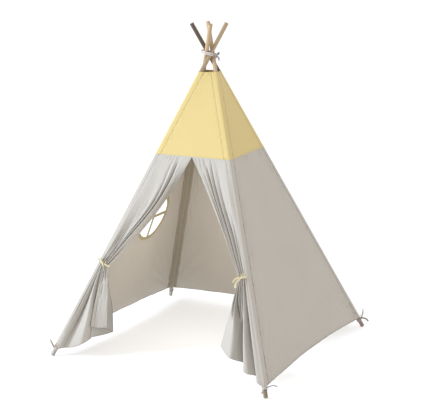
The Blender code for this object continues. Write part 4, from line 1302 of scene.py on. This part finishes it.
def lashing_path():
    """The tape's way round the crossing poles."""
    cloud = []
    for corner in range(4):
        for half in (-0.0095, 0, 0.0095):
            for a in round_angles(32):
                reach = OUT[corner] * math.cos(a) / math.cos(TILT) + BESIDE[corner] * math.sin(a)
                spot = np.zeros(3)
                for _ in range(5):
                    level = LASHING_LEVEL + half - spot[:2] @ LASHING_FALL
                    spot = pole_point(corner, level) + reach * (POLE_RADIUS + 0.0012)
                cloud.append(spot[:2])
    line = hull(cloud)
    line = np.concatenate([line, line[:1]])
    run = run_along(line)
    share = np.linspace(0, LASHING_TURNS, 130 * LASHING_TURNS)
    even = ((share + 0.08) % 1) * run[-1]
    flat = np.stack([np.interp(even, run, line[:, k]) for k in (0, 1)], 1)
    swell = 1 + 0.014 * share + 0.02 * np.abs(np.sin(share * 7))
    spread = 0.0042 * np.cos(share * math.pi * 0.9 + 0.4) + 0.0012 * np.sin(share * 17)
    level = LASHING_LEVEL - flat @ LASHING_FALL + spread
    path = np.concatenate([flat * swell[:, None], level[:, None]], 1)
    relax(path, 6)
    return path


def make_lashing():
    """Tape wound round the crossing poles, knotted at the right."""
    pieces = [ribbon("lashing_turns", lashing_path(), UPWARD, 0.0100, 0.0011, WHITE_TAPE, 0.03)]
    angle = math.radians(5)
    out = np.array([math.cos(angle), math.sin(angle), 0])
    side = np.cross(UPWARD, out)
    at = knot_axes(JOINT + out * 0.0345 - UPWARD * 0.0055, side, out, UPWARD)
    path = curl(at, ((-0.002, -0.004, 0.008), (0.002, 0.003, 0.002), (0.001, 0.002, -0.004),
                     (0, -0.004, -0.009)), 14)
    rings = sweep(path, side, 0.0125, 0.0095, 0.7)
    pieces.append(tube_mesh("lashing_knot", rings, ribbon_uv(path, 0.0125), WHITE_TAPE))
    path = curl(at, ((-0.0075, -0.004, 0.002), (-0.004, 0.0065, 0.002), (0.004, 0.007, -0.001),
                     (0.0075, -0.004, -0.002)), 16)
    pieces.append(ribbon("lashing_knot_wrap", path, UPWARD, 0.0085, 0.0013, WHITE_TAPE))
    twist = np.linspace(0, 1, 26)[:, None]
    # The tails and loops take the grey tape as painted shade
    for number, points in enumerate(LASHING_TAILS):
        path = curl(at, ((0, 0.001, 0), *points), 26)
        wide = side * np.cos(twist * 1.4 + number) + out * 0.5 + UPWARD * 0.7 * twist
        pieces.append(ribbon(f"lashing_tail_{number}", path, wide, 0.0085, 0.0010, GREY_AND_SHADED_TAPE, 0.05))
    for number, points in enumerate(LASHING_LOOPS):
        path = curl(at, ((0, 0.001, 0.001), *points, (0, 0.002, 0)), 28)
        pieces.append(ribbon(f"lashing_loop_{number}", path, out, 0.0080, 0.0010, GREY_AND_SHADED_TAPE, 0.04))
    at = knot_axes(JOINT - out * 0.029 + UPWARD * 0.010, -out, UPWARD, side)
    path = curl(at, ((0, 0.003, 0.004), (0.006, 0.008, 0.006), (0.012, 0.005, 0.002),
                     (0.010, -0.003, -0.003), (0, -0.003, -0.005)), 24)
    wide = side * 0.3 + UPWARD
    pieces.append(ribbon("lashing_left_loop", path, wide, 0.007, 0.0010, WHITE_TAPE))
    thing = merged("lashing_tape", pieces)
    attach(thing, "apex")
    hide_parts("apex_lashing")


for corner in range(4):
    make_pole_half(corner, False)
    make_pole_half(corner, True)
    make_ferrule(corner)
    make_sleeve(corner)
    make_corner_cloth(corner, False)
    make_corner_cloth(corner, True)
    make_corner_tie(corner, *FOOT_TIES[corner])
for side in range(4):
    for corner in (side, (side + 1) % 4):
        if side:
            make_panel(side, corner, False)
        make_panel(side, corner, True)
make_window()
left_curtain = make_curtain(0, LEFT_ROWS, LEFT_EDGE)
right_curtain = make_curtain(1, RIGHT_ROWS, RIGHT_EDGE)
make_tie_back(0, left_curtain, *LEFT_BOW)
make_tie_back(1, right_curtain, *RIGHT_BOW)
make_lashing()
make_stitches()


# The studio. The camera was fitted to the photo, whose width and focal length are in pixels

PHOTO_WIDTH = 437
FOCAL_LENGTH = 1204.99
SENSOR_WIDTH = 36
YAW, PITCH, ROLL = (math.radians(angle) for angle in (30.4027, 13.3551, -0.4925))
CAMERA_AWAY = 5.9643
AIM_RIGHT, AIM_UP = 0.0368, 0.6879


def make_floor():
    material, tree, shader, where = start_material("studio_floor")
    mottle = noise(tree, where["Object"], 2.0, 2.0)
    pale = blend_colours(tree, mottle, (0.47, 0.47, 0.47, 1), (0.49, 0.49, 0.49, 1))
    feed(tree, shader, Base_Color=pale, Roughness=0.9, Emission_Color=(1, 1, 1, 1),
         Emission_Strength=0.56)
    floor = make_mesh("studio_floor", [(-30, -30, 0), (30, -30, 0), (30, 30, 0), (-30, 30, 0)],
                      [(0, 1, 2, 3)], [(0, 0), (1, 0), (1, 1), (0, 1)], material)


def make_lamp(name, kind, place, power, colour):
    data = bpy.data.lights.new(name, kind)
    data.energy, data.color = power, colour
    lamp = add_object(name, data)
    lamp.location = place
    return lamp


def make_lights():
    """A broad lamp at the left front, and the glow of the daylight that thin cotton lets in."""
    place, aim = Vector((-8.0, -7.2, 5.8)), Vector((0, 0, 0.6))
    key = make_lamp("key", "AREA", place, 1250, (0.74, 0.852, 1.0))
    key.data.shape, key.data.size = "DISK", 3.0
    key.rotation_euler = (aim - place).to_track_quat("-Z", "Y").to_euler()
    glow = make_lamp("glow", "POINT", (0, -0.05, 0.42), 3.4, (1.0, 0.93, 0.80))
    glow.data.shadow_soft_size = 0.25
    glow.visible_camera = False


def make_camera():
    data = bpy.data.cameras.new("camera")
    data.lens = FOCAL_LENGTH / PHOTO_WIDTH * SENSOR_WIDTH
    data.sensor_width = SENSOR_WIDTH
    camera = add_object("camera", data)
    level = Vector((math.cos(YAW), math.sin(YAW), 0))
    back = Vector((math.sin(YAW) * math.cos(PITCH), -math.cos(YAW) * math.cos(PITCH),
                   math.sin(PITCH)))
    above = back.cross(level)
    right = level * math.cos(ROLL) + above * math.sin(ROLL)
    up = above * math.cos(ROLL) - level * math.sin(ROLL)
    aim = level * AIM_RIGHT + Vector((0, 0, AIM_UP))
    matrix = np.eye(4)
    matrix[:3] = np.stack([right, up, back, aim + back * CAMERA_AWAY], 1)
    camera.matrix_world = Matrix(matrix.tolist())
    bpy.context.scene.camera = camera


def make_world():
    world = bpy.data.worlds.new("studio")
    world.use_nodes = True
    sky = world.node_tree.nodes["Background"].inputs
    feed(world.node_tree, sky, Color=(1, 1, 1, 1), Strength=1.0)
    bpy.context.scene.world = world


make_floor()
make_camera()
make_world()
make_lights()
bpy.context.scene.view_settings.view_transform = "Standard"
